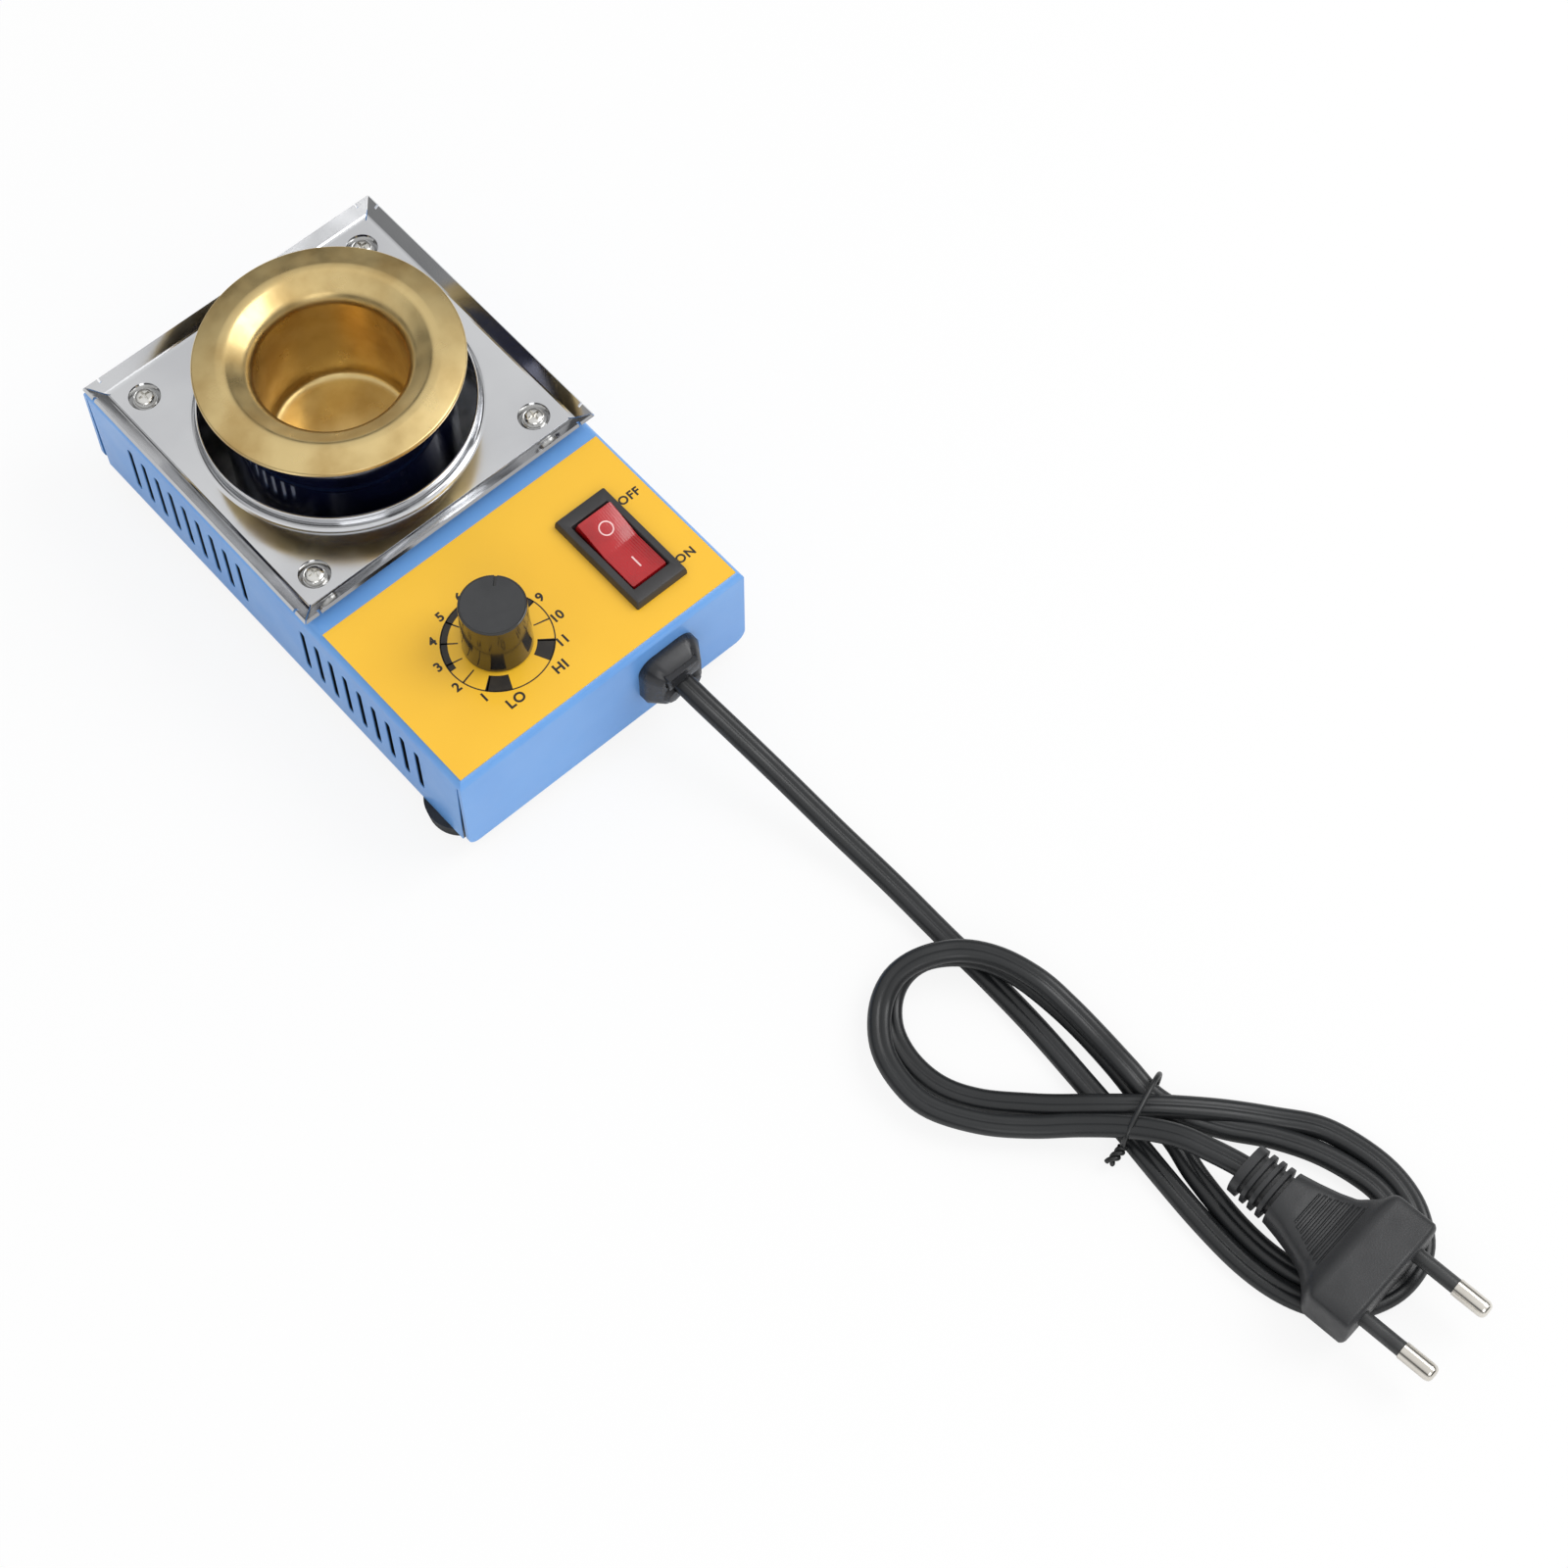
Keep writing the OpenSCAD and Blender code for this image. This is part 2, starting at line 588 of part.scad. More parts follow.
// Turned crucible: flange with a sloped outer band, a coved inner band, a step and a deep cup
module crucible() {
    outer_z = crest_z - 1.3;
    outline = concat(
        [[0, cup_bottom_z], [cup_out_r - 1.5, cup_bottom_z], [cup_out_r, cup_bottom_z + 1.5], [cup_out_r, seat_z],
            [can_r + 0.5, seat_z], [flange_r - 0.5, seat_z + flange_rise - 0.1]],
        bezier([flange_r - 0.5, seat_z + flange_rise - 0.1], [flange_r, seat_z + flange_rise],
            [flange_r, seat_z + flange_rise + 0.4], 4),
        bezier([flange_r, outer_z - 0.4], [flange_r, outer_z], [flange_r - 0.6, outer_z + 0.12], 5),
        bezier([crest_out_r + 0.3, crest_z - 0.1], [crest_out_r, crest_z], [crest_out_r - 0.5, crest_z], 3),
        bezier([crest_in_r, crest_z], [crest_in_r - 1.4, crest_z - 1.9], [step_r, crest_z - 2.1], 8),
        [[step_r, crest_z - 2.5]],
        bezier([step_r - 0.4, crest_z - 2.5], [cup_r, crest_z - 2.6], [cup_r, crest_z - 4], 6),
        bezier([cup_r, cup_floor_z + cup_fillet], [cup_r, cup_floor_z], [cup_r - cup_fillet, cup_floor_z], 8),
        [[0, cup_floor_z]]);
    color("goldenrod") translate([0, pot_y, 0]) {
        rotate_extrude($fn = 128) polygon(outline);
        translate([0, 0, cover_top_z + 0.6]) cylinder(h = cup_bottom_z - cover_top_z, r = spigot_r);
    }
}

module crucible_nut() {
    color("silver") translate([0, pot_y, can_floor_z - 2.7]) hex_nut(8, 2.7, spigot_r + run_gap);
}

// ---------- control panel ----------

bush_r = 3.5;
switch_w = 12.4;
switch_l = 25.6;
switch_depth = 14;

module panel_label() {
    w = body_w - 2 * label_margin;
    color("gold") difference() {
        translate([-w / 2, front_y + label_margin, top_z]) cube([w, label_l, label_t]);
        translate([knob_x, control_y, top_z - 1]) cylinder(h = label_t + 2, r = bush_r + 0.15);
        translate([switch_x - switch_w / 2 - 0.15, control_y - switch_l / 2 - 0.15, top_z - 1])
            cube([switch_w + 0.3, switch_l + 0.3, label_t + 2]);
    }
}

cap_t = 0.6;
knob_cavity_h = 4.6;

module knob() {
    color("black") translate([knob_x, control_y, knob_z]) difference() {
        rotate_extrude() polygon(concat([[0, 0], [knob_r, 0]],
            bezier([knob_top_r, knob_h - 0.4], [knob_top_r, knob_h], [knob_top_r - 0.4, knob_h], 4), [[0, knob_h]]));
        translate([0, 0, -1]) cylinder(h = knob_cavity_h + 1, r = knob_r - 1.3);
        cylinder(h = knob_h - 2.2, r = shaft_r + run_gap / 2);
        translate([0, 0, knob_h - cap_t]) cylinder(h = cap_t + 1, r = knob_top_r - 0.45);
        rotate([0, 0, pointer_angle]) translate([knob_top_r - 2.9, -0.35, knob_h - cap_t]) cube([4, 0.7, 2]);
    }
}

module knob_cap() {
    color("dimgray") translate([knob_x, control_y, knob_z + knob_h - cap_t]) difference() {
        cylinder(h = cap_t, r = knob_top_r - 0.5);
        rotate([0, 0, pointer_angle]) translate([knob_top_r - 2.9, -0.35, -1]) cube([4, 0.7, 3]);
    }
}

pot_body_h = 9;

module pot_shaft() {
    color("lightgray") translate([knob_x, control_y, under_top_z - pot_body_h + 2])
        cylinder(h = knob_z + knob_h - 2.4 - (under_top_z - pot_body_h + 2), r = shaft_r);
}

module pot_body() {
    color("darkgoldenrod") translate([knob_x, control_y, under_top_z - pot_body_h]) {
        difference() {
            union() {
                cylinder(h = pot_body_h, r = 8.2);
                translate([-7, -12, 1.4]) cube([14, 8, 1.6]);
            }
            translate([0, 0, 1.6]) cylinder(h = pot_body_h, r = shaft_r + 0.3);
        }
        for (i = [-1, 0, 1]) translate([i * 5 - 0.5, -14.5, 1.9]) cube([1, 3, 0.6]);
    }
}

module pot_bush() {
    color("silver") translate([knob_x, control_y, under_top_z]) ring_tube(shaft_r + run_gap, bush_r, sheet_t + label_t + 4.4);
}

module pot_washer() {
    color("silver") translate([knob_x, control_y, label_z]) ring_tube(bush_r + 0.1, 5.8, 0.5);
}

module pot_nut() {
    color("silver") translate([knob_x, control_y, label_z + 0.5]) hex_nut(10, 2.2, bush_r + run_gap);
}

module switch_body() {
    open_w = rocker_w + 2 * rocker_gap;
    open_l = 2 * rocker_r + 2 * rocker_gap;
    color("darkslategray") translate([switch_x, control_y, 0]) difference() {
        union() {
            translate([0, 0, label_z]) folded_block(bezel_w, bezel_l, bezel_h, 0.9);
            translate([-switch_w / 2, -switch_l / 2, label_z - switch_depth]) cube([switch_w, switch_l, switch_depth + 1]);
        }
        translate([-open_w / 2, -open_l / 2, pivot_z - 5.2]) cube([open_w, open_l, 12]);
        translate([-open_w / 2 - 0.6, 0, pivot_z]) rotate([0, 90, 0])
            cylinder(h = open_w + 1.2, r = 1.2 + run_gap, $fn = 32);
    }
}

// Rocker, tilted to ON: the end towards the crucible stands up
module rocker() {
    rise = rocker_r * tan(rocker_slope);
    end_h = 3.9;
    color("red") translate([switch_x, control_y, pivot_z]) rotate([rocker_tilt, 0, 0]) {
        intersection() {
            rotate([90, 0, 90]) translate([0, 0, -rocker_w / 2]) linear_extrude(rocker_w)
                polygon([[-rocker_r - 1, -3.2], [rocker_r + 1, -3.2], [rocker_r + 1, end_h + 0.14],
                    [0, end_h - rise], [-rocker_r - 1, end_h + 0.14]]);
            rotate([0, 90, 0]) translate([0, 0, -rocker_w / 2 - 1]) cylinder(h = rocker_w + 2, r = rocker_r, $fn = 96);
        }
        rotate([0, 90, 0]) translate([0, 0, -rocker_w / 2 - 0.8]) cylinder(h = rocker_w + 1.6, r = 1.2, $fn = 32);
    }
}

module switch_terminals() {
    color("khaki") for (i = [-1, 0, 1])
        translate([switch_x - 2.4, control_y + i * 8 - 0.4, label_z - switch_depth - 6.5]) cube([4.8, 0.8, 6.5]);
}

// ---------- control board ----------

board_w = 38;
board_l = 42;
board_t = 1.6;
board_lift = 2.5;
board_x = -11;
board_y = -39;
board_z = cover_top_z + board_lift;
board_top_z = board_z + board_t;
fuse_x = board_x - board_w / 2 + 9;
fuse_y = board_y - board_l / 2 + 9.5;

module control_board() {
    color("darkgreen") difference() {
        translate([board_x - board_w / 2, board_y - board_l / 2, board_z]) cube([board_w, board_l, board_t]);
        at_board_posts() translate([0, 0, board_z - 1]) cylinder(h = board_t + 2, r = 1.2, $fn = 32);
    }
}

module board_standoffs() {
    color("white") at_board_posts() {
        translate([0, 0, cover_top_z]) cylinder(h = board_lift, r = 2.4, $fn = 32);
        translate([0, 0, cover_top_z]) cylinder(h = board_lift + board_t + 1, r = 1.1, $fn = 32);
        translate([0, 0, board_top_z]) cylinder(h = 0.9, r1 = 1.9, r2 = 1.1, $fn = 32);
    }
}

module triac() {
    color("black") translate([board_x - board_w / 2 + 5, board_y + board_l / 2 - 9, board_top_z]) {
        translate([-2.2, -5, 2.5]) cube([4.4, 10, 9]);
        for (i = [-1, 0, 1]) translate([-0.35, i * 2.54 - 0.4, 0]) cube([0.7, 0.8, 2.6]);
    }
}

module heat_sink() {
    color("gainsboro") translate([board_x - board_w / 2 + 7.2, board_y + board_l / 2 - 17, board_top_z]) {
        cube([1.6, 16, 11.5]);
        for (i = [0 : 4]) translate([1.6, 0.4 + i * 3.6, 0]) cube([5, 0.9, 11.5]);
    }
}

module capacitor() {
    color("khaki") translate([board_x + 2, board_y + board_l / 2 - 15, board_top_z]) cube([6, 13, 10.5]);
}

module choke() {
    color("peru") translate([board_x + board_w / 2 - 8, board_y - board_l / 2 + 10, board_top_z]) {
        cylinder(h = 1, r = 6.4);
        translate([0, 0, 1]) difference() {
            cylinder(h = 7, r = 5.6);
            translate([0, 0, -1]) cylinder(h = 10, r = 1.8);
        }
        translate([0, 0, 8]) cylinder(h = 1, r = 6.4);
    }
}

module fuse() {
    color("lightcyan") translate([fuse_x, fuse_y, board_top_z + 3.4]) rotate([90, 0, 90]) {
        translate([0, 0, -4]) cylinder(h = 14, r = 2.3, $fn = 40);
        for (z = [-7, 10]) translate([0, 0, z]) cylinder(h = 3, r = 2.6, $fn = 40);
    }
}

module fuse_clips() {
    color("silver") for (x = [-6.9, 10.1]) translate([fuse_x + x, fuse_y, board_top_z]) {
        translate([0.2, -3.4, 0]) cube([2.4, 6.8, 0.7]);
        for (s = [-1, 1]) translate([0.2, s * 3.05 - 0.35, 0]) cube([2.4, 0.7, 5.4]);
    }
}

module terminal_block() {
    color("seagreen") translate([board_x + board_w / 2 - 9, board_y, board_top_z]) difference() {
        cube([8, 15, 9]);
        for (i = [0 : 2]) translate([-1, 2.5 + i * 5, 3]) rotate([0, 90, 0]) cylinder(h = 6, r = 1.4, $fn = 32);
        for (i = [0 : 2]) translate([4, 2.5 + i * 5, 5]) cylinder(h = 6, r = 1.6, $fn = 32);
    }
}

// ---------- lead ----------

relief_barrel_r = 6.3;
relief_flat = 5.4;
relief_nose = 6.4;
relief_flange = 2;
relief_corner = 4;
relief_taper = 0.72;
wedge_w = 8.6;
lead_gap = 0.1;
wedge_z = cord_t / 2 + 0.05;

module lead_hole(len) {
    rotate([90, 0, 0]) linear_extrude(len) {
        square([cord_w - cord_t, cord_t + 2 * lead_gap], center = true);
        for (s = [-1, 1]) translate([s * (cord_w - cord_t) / 2, 0]) circle(cord_t / 2 + lead_gap, $fn = 32);
    }
}

// Square with round corners, centred
module soft_square(side, r) {
    square([side - 2 * r, side], center = true);
    square([side, side - 2 * r], center = true);
    for (sx = [-1, 1], sy = [-1, 1]) translate([sx * (side / 2 - r), sy * (side / 2 - r)]) circle(r, $fn = 32);
}

// Bushing whose bevelled head clamps outside the wall; a groove takes the wall
module strain_relief() {
    side = 2 * relief_r;
    color("black") translate([relief_x, front_y, relief_z]) difference() {
        union() {
            rotate([90, 0, 0]) linear_extrude(relief_flange) soft_square(side, relief_corner);
            translate([0, -relief_flange, 0]) rotate([90, 0, 0])
                linear_extrude(relief_d - relief_flange, scale = relief_taper) soft_square(side, relief_corner);
            // Two lobes under the lead
            for (s = [-1, 1]) translate([s * relief_r * 0.36, -relief_d + TINY, -relief_r * 0.3]) rotate([90, 0, 0])
                linear_extrude(relief_nose - relief_d, scale = 0.7) circle(relief_r * 0.34, $fn = 8);
            translate([0, sheet_t, 0]) rotate([90, 0, 0]) linear_extrude(sheet_t) relief_outline(relief_barrel_r, relief_flat);
            translate([0, sheet_t + 6, 0]) rotate([90, 0, 0]) linear_extrude(6)
                relief_outline(relief_barrel_r + 0.7, relief_flat - 0.2);
        }
        translate([0, 8, 0]) lead_hole(relief_nose + 10);
        translate([-wedge_w / 2 - seat_gap, -relief_nose - 1, wedge_z - seat_gap])
            cube([wedge_w + 2 * seat_gap, relief_nose + 9, 4.2]);
    }
}

// Wedge that presses on the lead: its tongue passes the wall inside the barrel
module relief_wedge() {
    color("black") translate([relief_x, front_y, relief_z]) difference() {
        union() {
            translate([-wedge_w / 2, -relief_nose, wedge_z]) cube([wedge_w, relief_nose, 4]);
            intersection() {
                translate([-wedge_w / 2, -TINY, wedge_z]) cube([wedge_w, 6, 4]);
                translate([0, 7, 0]) rotate([90, 0, 0]) linear_extrude(8) relief_outline(relief_barrel_r - 0.1, relief_flat - 0.3);
            }
        }
        for (i = [0 : 3]) translate([-wedge_w / 2 - 1, -3.4 + i * 2.2, wedge_z - 1]) cube([wedge_w + 2, 0.8, 1.5]);
    }
}

module cord_lead() {
    start = [relief_x, front_y, relief_z];
    color("dimgray") lead_tube(smooth([for (p = lead_route) start + p], 2), cord_w, cord_t, 10);
}

// Plan of one loop of the bundle: a band along a closed line
module loop_band(loop) {
    offset(r = bundle_half - 0.5, $fn = 24) for (i = [0 : len(loop) - 1]) let (a = loop[i], b = wrap(loop, i + 1))
        translate(a) rotate(atan2(b[1] - a[1], b[0] - a[0])) translate([-0.5, -0.5]) square([norm(b - a) + 1, 1]);
}

module cord_hank() {
    color("dimgray") {
        linear_extrude(left_loop_h) loop_band(left_loop);
        linear_extrude(right_loop_h) loop_band(right_loop);
    }
}

module cord_tail() {
    color("dimgray") lead_tube(smooth(tail_route, 3), cord_w, cord_t, 10);
}

module cord_tie() {
    color("black") translate([27, -209.5, 0]) rotate([90, 0, 8]) linear_extrude(1.4, center = true) difference() {
        translate([-9.2, 0]) square([18.4, 10]);
        translate([-8.2, 0.4]) square([16.4, 8.6]);
    }
}

// ---------- plug ----------

pin_seat = 4;
pin_core_r = 1.4;
sleeve_l = 10;

module at_pins() {
    for (s = [-1, 1]) translate([s * pin_pitch / 2, pin_seat, 0]) rotate([90, 0, 0]) children();
}

module in_plug() {
    translate(plug_at) rotate([0, 0, plug_turn]) children();
}

// Plan of the plug: block, waist, neck and ribbed tail, as a mirrored outline
module plug_plan() {
    half = concat([[plug_w / 2 - 1, 0], [plug_w / 2, 1], [plug_w / 2, 10]],
        bezier([plug_w / 2 - 0.4, 11.5], [plug_w / 2 - 6, 13], [8.5, 19], 6),
        bezier([7.4, 22], [6.3, 25], [6, 28], 3), [[5.2, 38]]);
    polygon(concat(half, [for (i = [len(half) - 1 : -1 : 0]) [-half[i][0], half[i][1]]]));
}

// Side of the plug: full height at the block, thinner at grip and tail
module plug_side() {
    half = [[0, plug_h / 2 - 0.8], [0.8, plug_h / 2], [10, plug_h / 2], [12.5, 4.4], [20, 4.6], [24, 5.2], [38, 5]];
    polygon(concat(half, [for (i = [len(half) - 1 : -1 : 0]) [half[i][0], -half[i][1]]]));
}

module plug_body() {
    color("black") in_plug() difference() {
        intersection() {
            translate([0, 0, -plug_h / 2 - 1]) linear_extrude(plug_h + 2) plug_plan();
            rotate([90, 0, 90]) translate([0, 0, -plug_w / 2 - 1]) linear_extrude(plug_w + 2) plug_side();
        }
        // Grooves of the bend relief
        for (i = [0 : 3]) translate([0, 28 + i * 2.2, 0]) rotate([-90, 0, 0]) difference() {
            cylinder(h = 1, r = 9, $fn = 32);
            translate([0, 0, -1]) cylinder(h = 3, r = 3.6, $fn = 32);
        }
        at_pins() cylinder(h = 10, r = sleeve_r);
    }
}

// Pins, seated in the block: thin through the sleeve, full at the bare tip
module plug_pins() {
    color("silver") in_plug() at_pins() rotate_extrude() polygon(concat(
        [[0, 0], [pin_core_r, 0], [pin_core_r, pin_seat + sleeve_l], [pin_r, pin_seat + sleeve_l]],
        bezier([pin_r, pin_seat + pin_l - 1.6], [pin_r, pin_seat + pin_l], [0.6, pin_seat + pin_l], 6),
        [[0, pin_seat + pin_l]]));
}

// Insulating sleeves on the root of each pin
module plug_sleeves() {
    color("dimgray") in_plug() at_pins() ring_tube(pin_core_r, sleeve_r, pin_seat + sleeve_l);
}

housing();
bottom_cover();
feet();
foot_screws();
cover_posts();
tray();
tray_screws();
tray_nuts();
heater_can();
can_standoffs();
can_screws();
insulation_pad();
insulation_sleeve();
heater_band();
band_screw();
crucible();
crucible_nut();
panel_label();
knob();
knob_cap();
pot_shaft();
pot_body();
pot_bush();
pot_washer();
pot_nut();
switch_body();
rocker();
switch_terminals();
control_board();
board_standoffs();
triac();
heat_sink();
capacitor();
choke();
fuse();
fuse_clips();
terminal_block();
strain_relief();
relief_wedge();
cord_lead();
cord_hank();
cord_tail();
cord_tie();
plug_body();
plug_sleeves();
plug_pins();
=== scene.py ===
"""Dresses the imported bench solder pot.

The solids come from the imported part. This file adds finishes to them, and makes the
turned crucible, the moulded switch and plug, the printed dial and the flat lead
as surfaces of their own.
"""

import logging
import math
from dataclasses import dataclass, field
from enum import Enum
from typing import Optional, Sequence

import bmesh
import bpy
import numpy as np
from mathutils import Matrix, Vector


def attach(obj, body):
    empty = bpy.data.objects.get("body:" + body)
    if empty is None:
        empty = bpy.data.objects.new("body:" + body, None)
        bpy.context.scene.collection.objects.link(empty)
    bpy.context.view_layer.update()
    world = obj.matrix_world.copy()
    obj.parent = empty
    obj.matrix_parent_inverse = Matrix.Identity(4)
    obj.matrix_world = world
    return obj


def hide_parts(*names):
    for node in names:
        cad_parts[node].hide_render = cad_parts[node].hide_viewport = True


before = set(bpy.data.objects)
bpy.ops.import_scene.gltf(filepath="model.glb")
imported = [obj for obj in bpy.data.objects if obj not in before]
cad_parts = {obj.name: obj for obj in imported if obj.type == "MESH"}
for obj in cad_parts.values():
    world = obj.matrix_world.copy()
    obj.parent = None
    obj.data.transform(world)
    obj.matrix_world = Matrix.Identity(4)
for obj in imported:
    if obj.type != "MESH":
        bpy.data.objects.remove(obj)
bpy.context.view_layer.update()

log = logging.getLogger("solder_pot")

Array = np.ndarray
Colour = tuple[float, float, float]
Point = tuple[float, float, float]

MM = 0.001
FULL_TURN = 2 * math.pi
MERGE_DISTANCE = 2e-6  # metres, within which points are one
BEVEL_ANGLE = math.radians(40)  # edges sharper than this are rounded
GLOSS_FINENESS = 2.3  # how much finer the uneven gloss is than the colour patches


class Body(Enum):
    """The rigid bodies that the pieces made here ride on."""

    BASE = "base"
    ROCKER = "rocker"


# --- shader maths


class Wire:
    """A node socket that takes part in Python arithmetic."""

    def __init__(self, graph: "Graph", socket: bpy.types.NodeSocket) -> None:
        """Keeps the socket and the graph it belongs to."""
        self.graph = graph
        self.socket = socket

    def _math(self, operation: str, *values: "Wire | float") -> "Wire":
        """Adds one Math node.

        Args:
            operation: The Math node's operation.
            values: Its inputs in order, wires or numbers.

        Returns:
            The node's output as a wire.
        """
        return self.graph.node(
            "ShaderNodeMath", {"operation": operation}, dict(enumerate(values))
        )

    def __add__(self, other: "Wire | float") -> "Wire":
        """Sum."""
        return self._math("ADD", self, other)

    __radd__ = __add__

    def __sub__(self, other: "Wire | float") -> "Wire":
        """Difference."""
        return self._math("SUBTRACT", self, other)

    def __rsub__(self, other: "Wire | float") -> "Wire":
        """Difference with this wire last."""
        return self._math("SUBTRACT", other, self)

    def __mul__(self, other: "Wire | float") -> "Wire":
        """Product."""
        return self._math("MULTIPLY", self, other)

    __rmul__ = __mul__

    def root(self) -> "Wire":
        """Square root."""
        return self._math("SQRT", self)

    def sine(self) -> "Wire":
        """Sine of a value in radians."""
        return self._math("SINE", self)

    def ramp(
        self, low: float, high: float, start: float = 0.0, end: float = 1.0
    ) -> "Wire":
        """Smooth clamped change from start to end as this value goes from low to high."""
        return self.graph.node(
            "ShaderNodeMapRange",
            {"interpolation_type": "SMOOTHSTEP"},
            {0: self, 1: low, 2: high, 3: start, 4: end},
        )


def feed(tree: bpy.types.NodeTree, socket: bpy.types.NodeSocket, value: object) -> None:
    """Links a socket from a wire or another socket, or sets its value."""
    source = value.socket if isinstance(value, Wire) else value
    if isinstance(source, bpy.types.NodeSocket):
        tree.links.new(source, socket)
    elif socket.type == "RGBA" and len(value) == 3:
        socket.default_value = (*value, 1.0)
    else:
        socket.default_value = value


def add_node(
    tree: bpy.types.NodeTree,
    kind: str,
    inputs: Optional[dict] = None,
    settings: Optional[dict] = None,
) -> bpy.types.Node:
    """Adds a node to a tree.

    Args:
        tree: The node tree.
        kind: The node's type.
        inputs: Values, wires or sockets by input number or name.
        settings: The node's own settings, made first.

    Returns:
        The node.
    """
    made = tree.nodes.new(kind)
    for key, value in (settings or {}).items():
        setattr(made, key, value)
    for key, value in (inputs or {}).items():
        feed(tree, made.inputs[key], value)
    return made


class Graph:
    """A material's node tree with one Principled shader."""

    def __init__(self, name: str) -> None:
        """Makes an empty material of that name with its shader and output."""
        self.material = bpy.data.materials.new(name)
        self.material.use_nodes = True
        self.tree = self.material.node_tree
        self.tree.nodes.clear()
        output = self.tree.nodes.new("ShaderNodeOutputMaterial")
        self.shader = self.tree.nodes.new("ShaderNodeBsdfPrincipled")
        self.tree.links.new(self.shader.outputs[0], output.inputs[0])

    @classmethod
    def reopened(cls, material: bpy.types.Material) -> "Graph":
        """A graph on a material that another finish has made."""
        graph = cls.__new__(cls)
        graph.material = material
        graph.tree = material.node_tree
        graph.shader = next(n for n in graph.tree.nodes if n.type == "BSDF_PRINCIPLED")
        return graph

    def feeding(self, socket: str) -> Wire:
        """The wire that now feeds one of the shader's sockets."""
        return Wire(self, self.shader.inputs[socket].links[0].from_socket)

    def node(
        self,
        kind: str,
        settings: Optional[dict] = None,
        inputs: Optional[dict] = None,
        out: int | str = 0,
    ) -> Wire:
        """Adds a node, as add_node does, and gives the output wanted as a wire."""
        return Wire(self, add_node(self.tree, kind, inputs, settings).outputs[out])

    def place(self, centre: Point = (0, 0, 0), stretch: Point = (1, 1, 1)) -> Wire:
        """Object coordinates, moved to a centre and stretched."""
        raw = self.node("ShaderNodeTexCoord", out="Object")
        shift = tuple(-c * s for c, s in zip(centre, stretch))
        settings = {"vector_type": "POINT"}
        return self.node("ShaderNodeMapping", settings, {0: raw, 1: shift, 3: stretch})

    def parts(self, vector: Wire) -> tuple[Wire, Wire, Wire]:
        """The three components of a vector."""
        made = add_node(self.tree, "ShaderNodeSeparateXYZ", {0: vector})
        return tuple(Wire(self, made.outputs[i]) for i in range(3))

    def larger(self, first: Wire, second: Wire | float) -> Wire:
        """The larger of two values."""
        return self.node("ShaderNodeMath", {"operation": "MAXIMUM"}, {0: first, 1: second})

    def join(self, x: Wire | float, y: Wire | float, z: Wire | float) -> Wire:
        """A vector from three components."""
        return self.node("ShaderNodeCombineXYZ", inputs={0: x, 1: y, 2: z})

    def noise(
        self, scale: float, detail: float, vector: Optional[Wire] = None, rough: float = 0.5
    ) -> Wire:
        """Noise between 0 and 1, about 0.5 on average."""
        inputs = {"Vector": vector or self.place(), "Scale": scale}
        inputs.update({"Detail": detail, "Roughness": rough})
        return self.node("ShaderNodeTexNoise", inputs=inputs)

    def blend(self, factor: Wire, first: Colour | Wire, second: Colour | Wire) -> Wire:
        """Colour between two colours."""
        inputs = {0: factor, 6: first, 7: second}
        return self.node("ShaderNodeMix", {"data_type": "RGBA"}, inputs, 2)

    def bump(self, height: Wire, depth: float) -> Wire:
        """Normal from a height between 0 and 1 that stands for a depth in metres."""
        inputs = {"Strength": 1.0, "Distance": depth, "Height": height}
        return self.node("ShaderNodeBump", inputs=inputs)

    def set(self, **values: "Wire | float | Colour") -> bpy.types.Material:
        """Sets the shader's sockets, by name with underscores for spaces."""
        for key, value in values.items():
            feed(self.tree, self.shader.inputs[key.replace("_", " ")], value)
        return self.material


# --- finishes


def tint(red: int, green: int, blue: int) -> Colour:
    """A display colour, 0 to 255 a channel, as linear light."""
    return tuple(
        c / 12.92 if c <= 0.04045 else ((c + 0.055) / 1.055) ** 2.4
        for c in (red / 255, green / 255, blue / 255)
    )


@dataclass(frozen=True)
class Finish:
    """A finish with a mottled colour, uneven gloss and a fine relief.

    Both colours are display values, 0 to 255 a channel.
    """

    slot: str
    colour: Colour
    dark: Colour
    roughness: tuple[float, float] = (0.3, 0.4)
    metallic: float = 0.0
    patch_scale: float = 60.0
    grain_scale: float = 1500.0
    grain_depth: float = 0.02
    coat: float = 0.0
    coat_roughness: float = 0.1
    sheen: float = 0.0
    alpha: float = 1.0
    own_name: str = ""

    @property
    def name(self) -> str:
        """The material's name, from the slot unless it has its own."""
        return self.own_name or self.slot + "_dressed"

    def relief(self, graph: Graph) -> Wire:
        """Height of the fine relief: even grain."""
        return graph.noise(self.grain_scale, 2.0)

    def patches(self, graph: Graph) -> Wire:
        """Where the darker colour shows: soft patches."""
        return graph.noise(self.patch_scale, 4.0).ramp(0.35, 0.75)

    def material(self) -> bpy.types.Material:
        """The finish as a material, made once."""
        known = bpy.data.materials.get(self.name)
        if known:
            return known
        graph = Graph(self.name)
        patch = self.patches(graph)
        gloss = graph.noise(self.patch_scale * GLOSS_FINENESS, 3.0)
        return graph.set(
            Base_Color=graph.blend(patch, tint(*self.colour), tint(*self.dark)),
            Roughness=gloss.ramp(0.3, 0.7, *self.roughness),
            Metallic=self.metallic,
            Coat_Weight=self.coat,
            Coat_Roughness=self.coat_roughness,
            Sheen_Weight=self.sheen,
            Alpha=self.alpha,
            Normal=graph.bump(self.relief(graph), self.grain_depth * MM),
        )


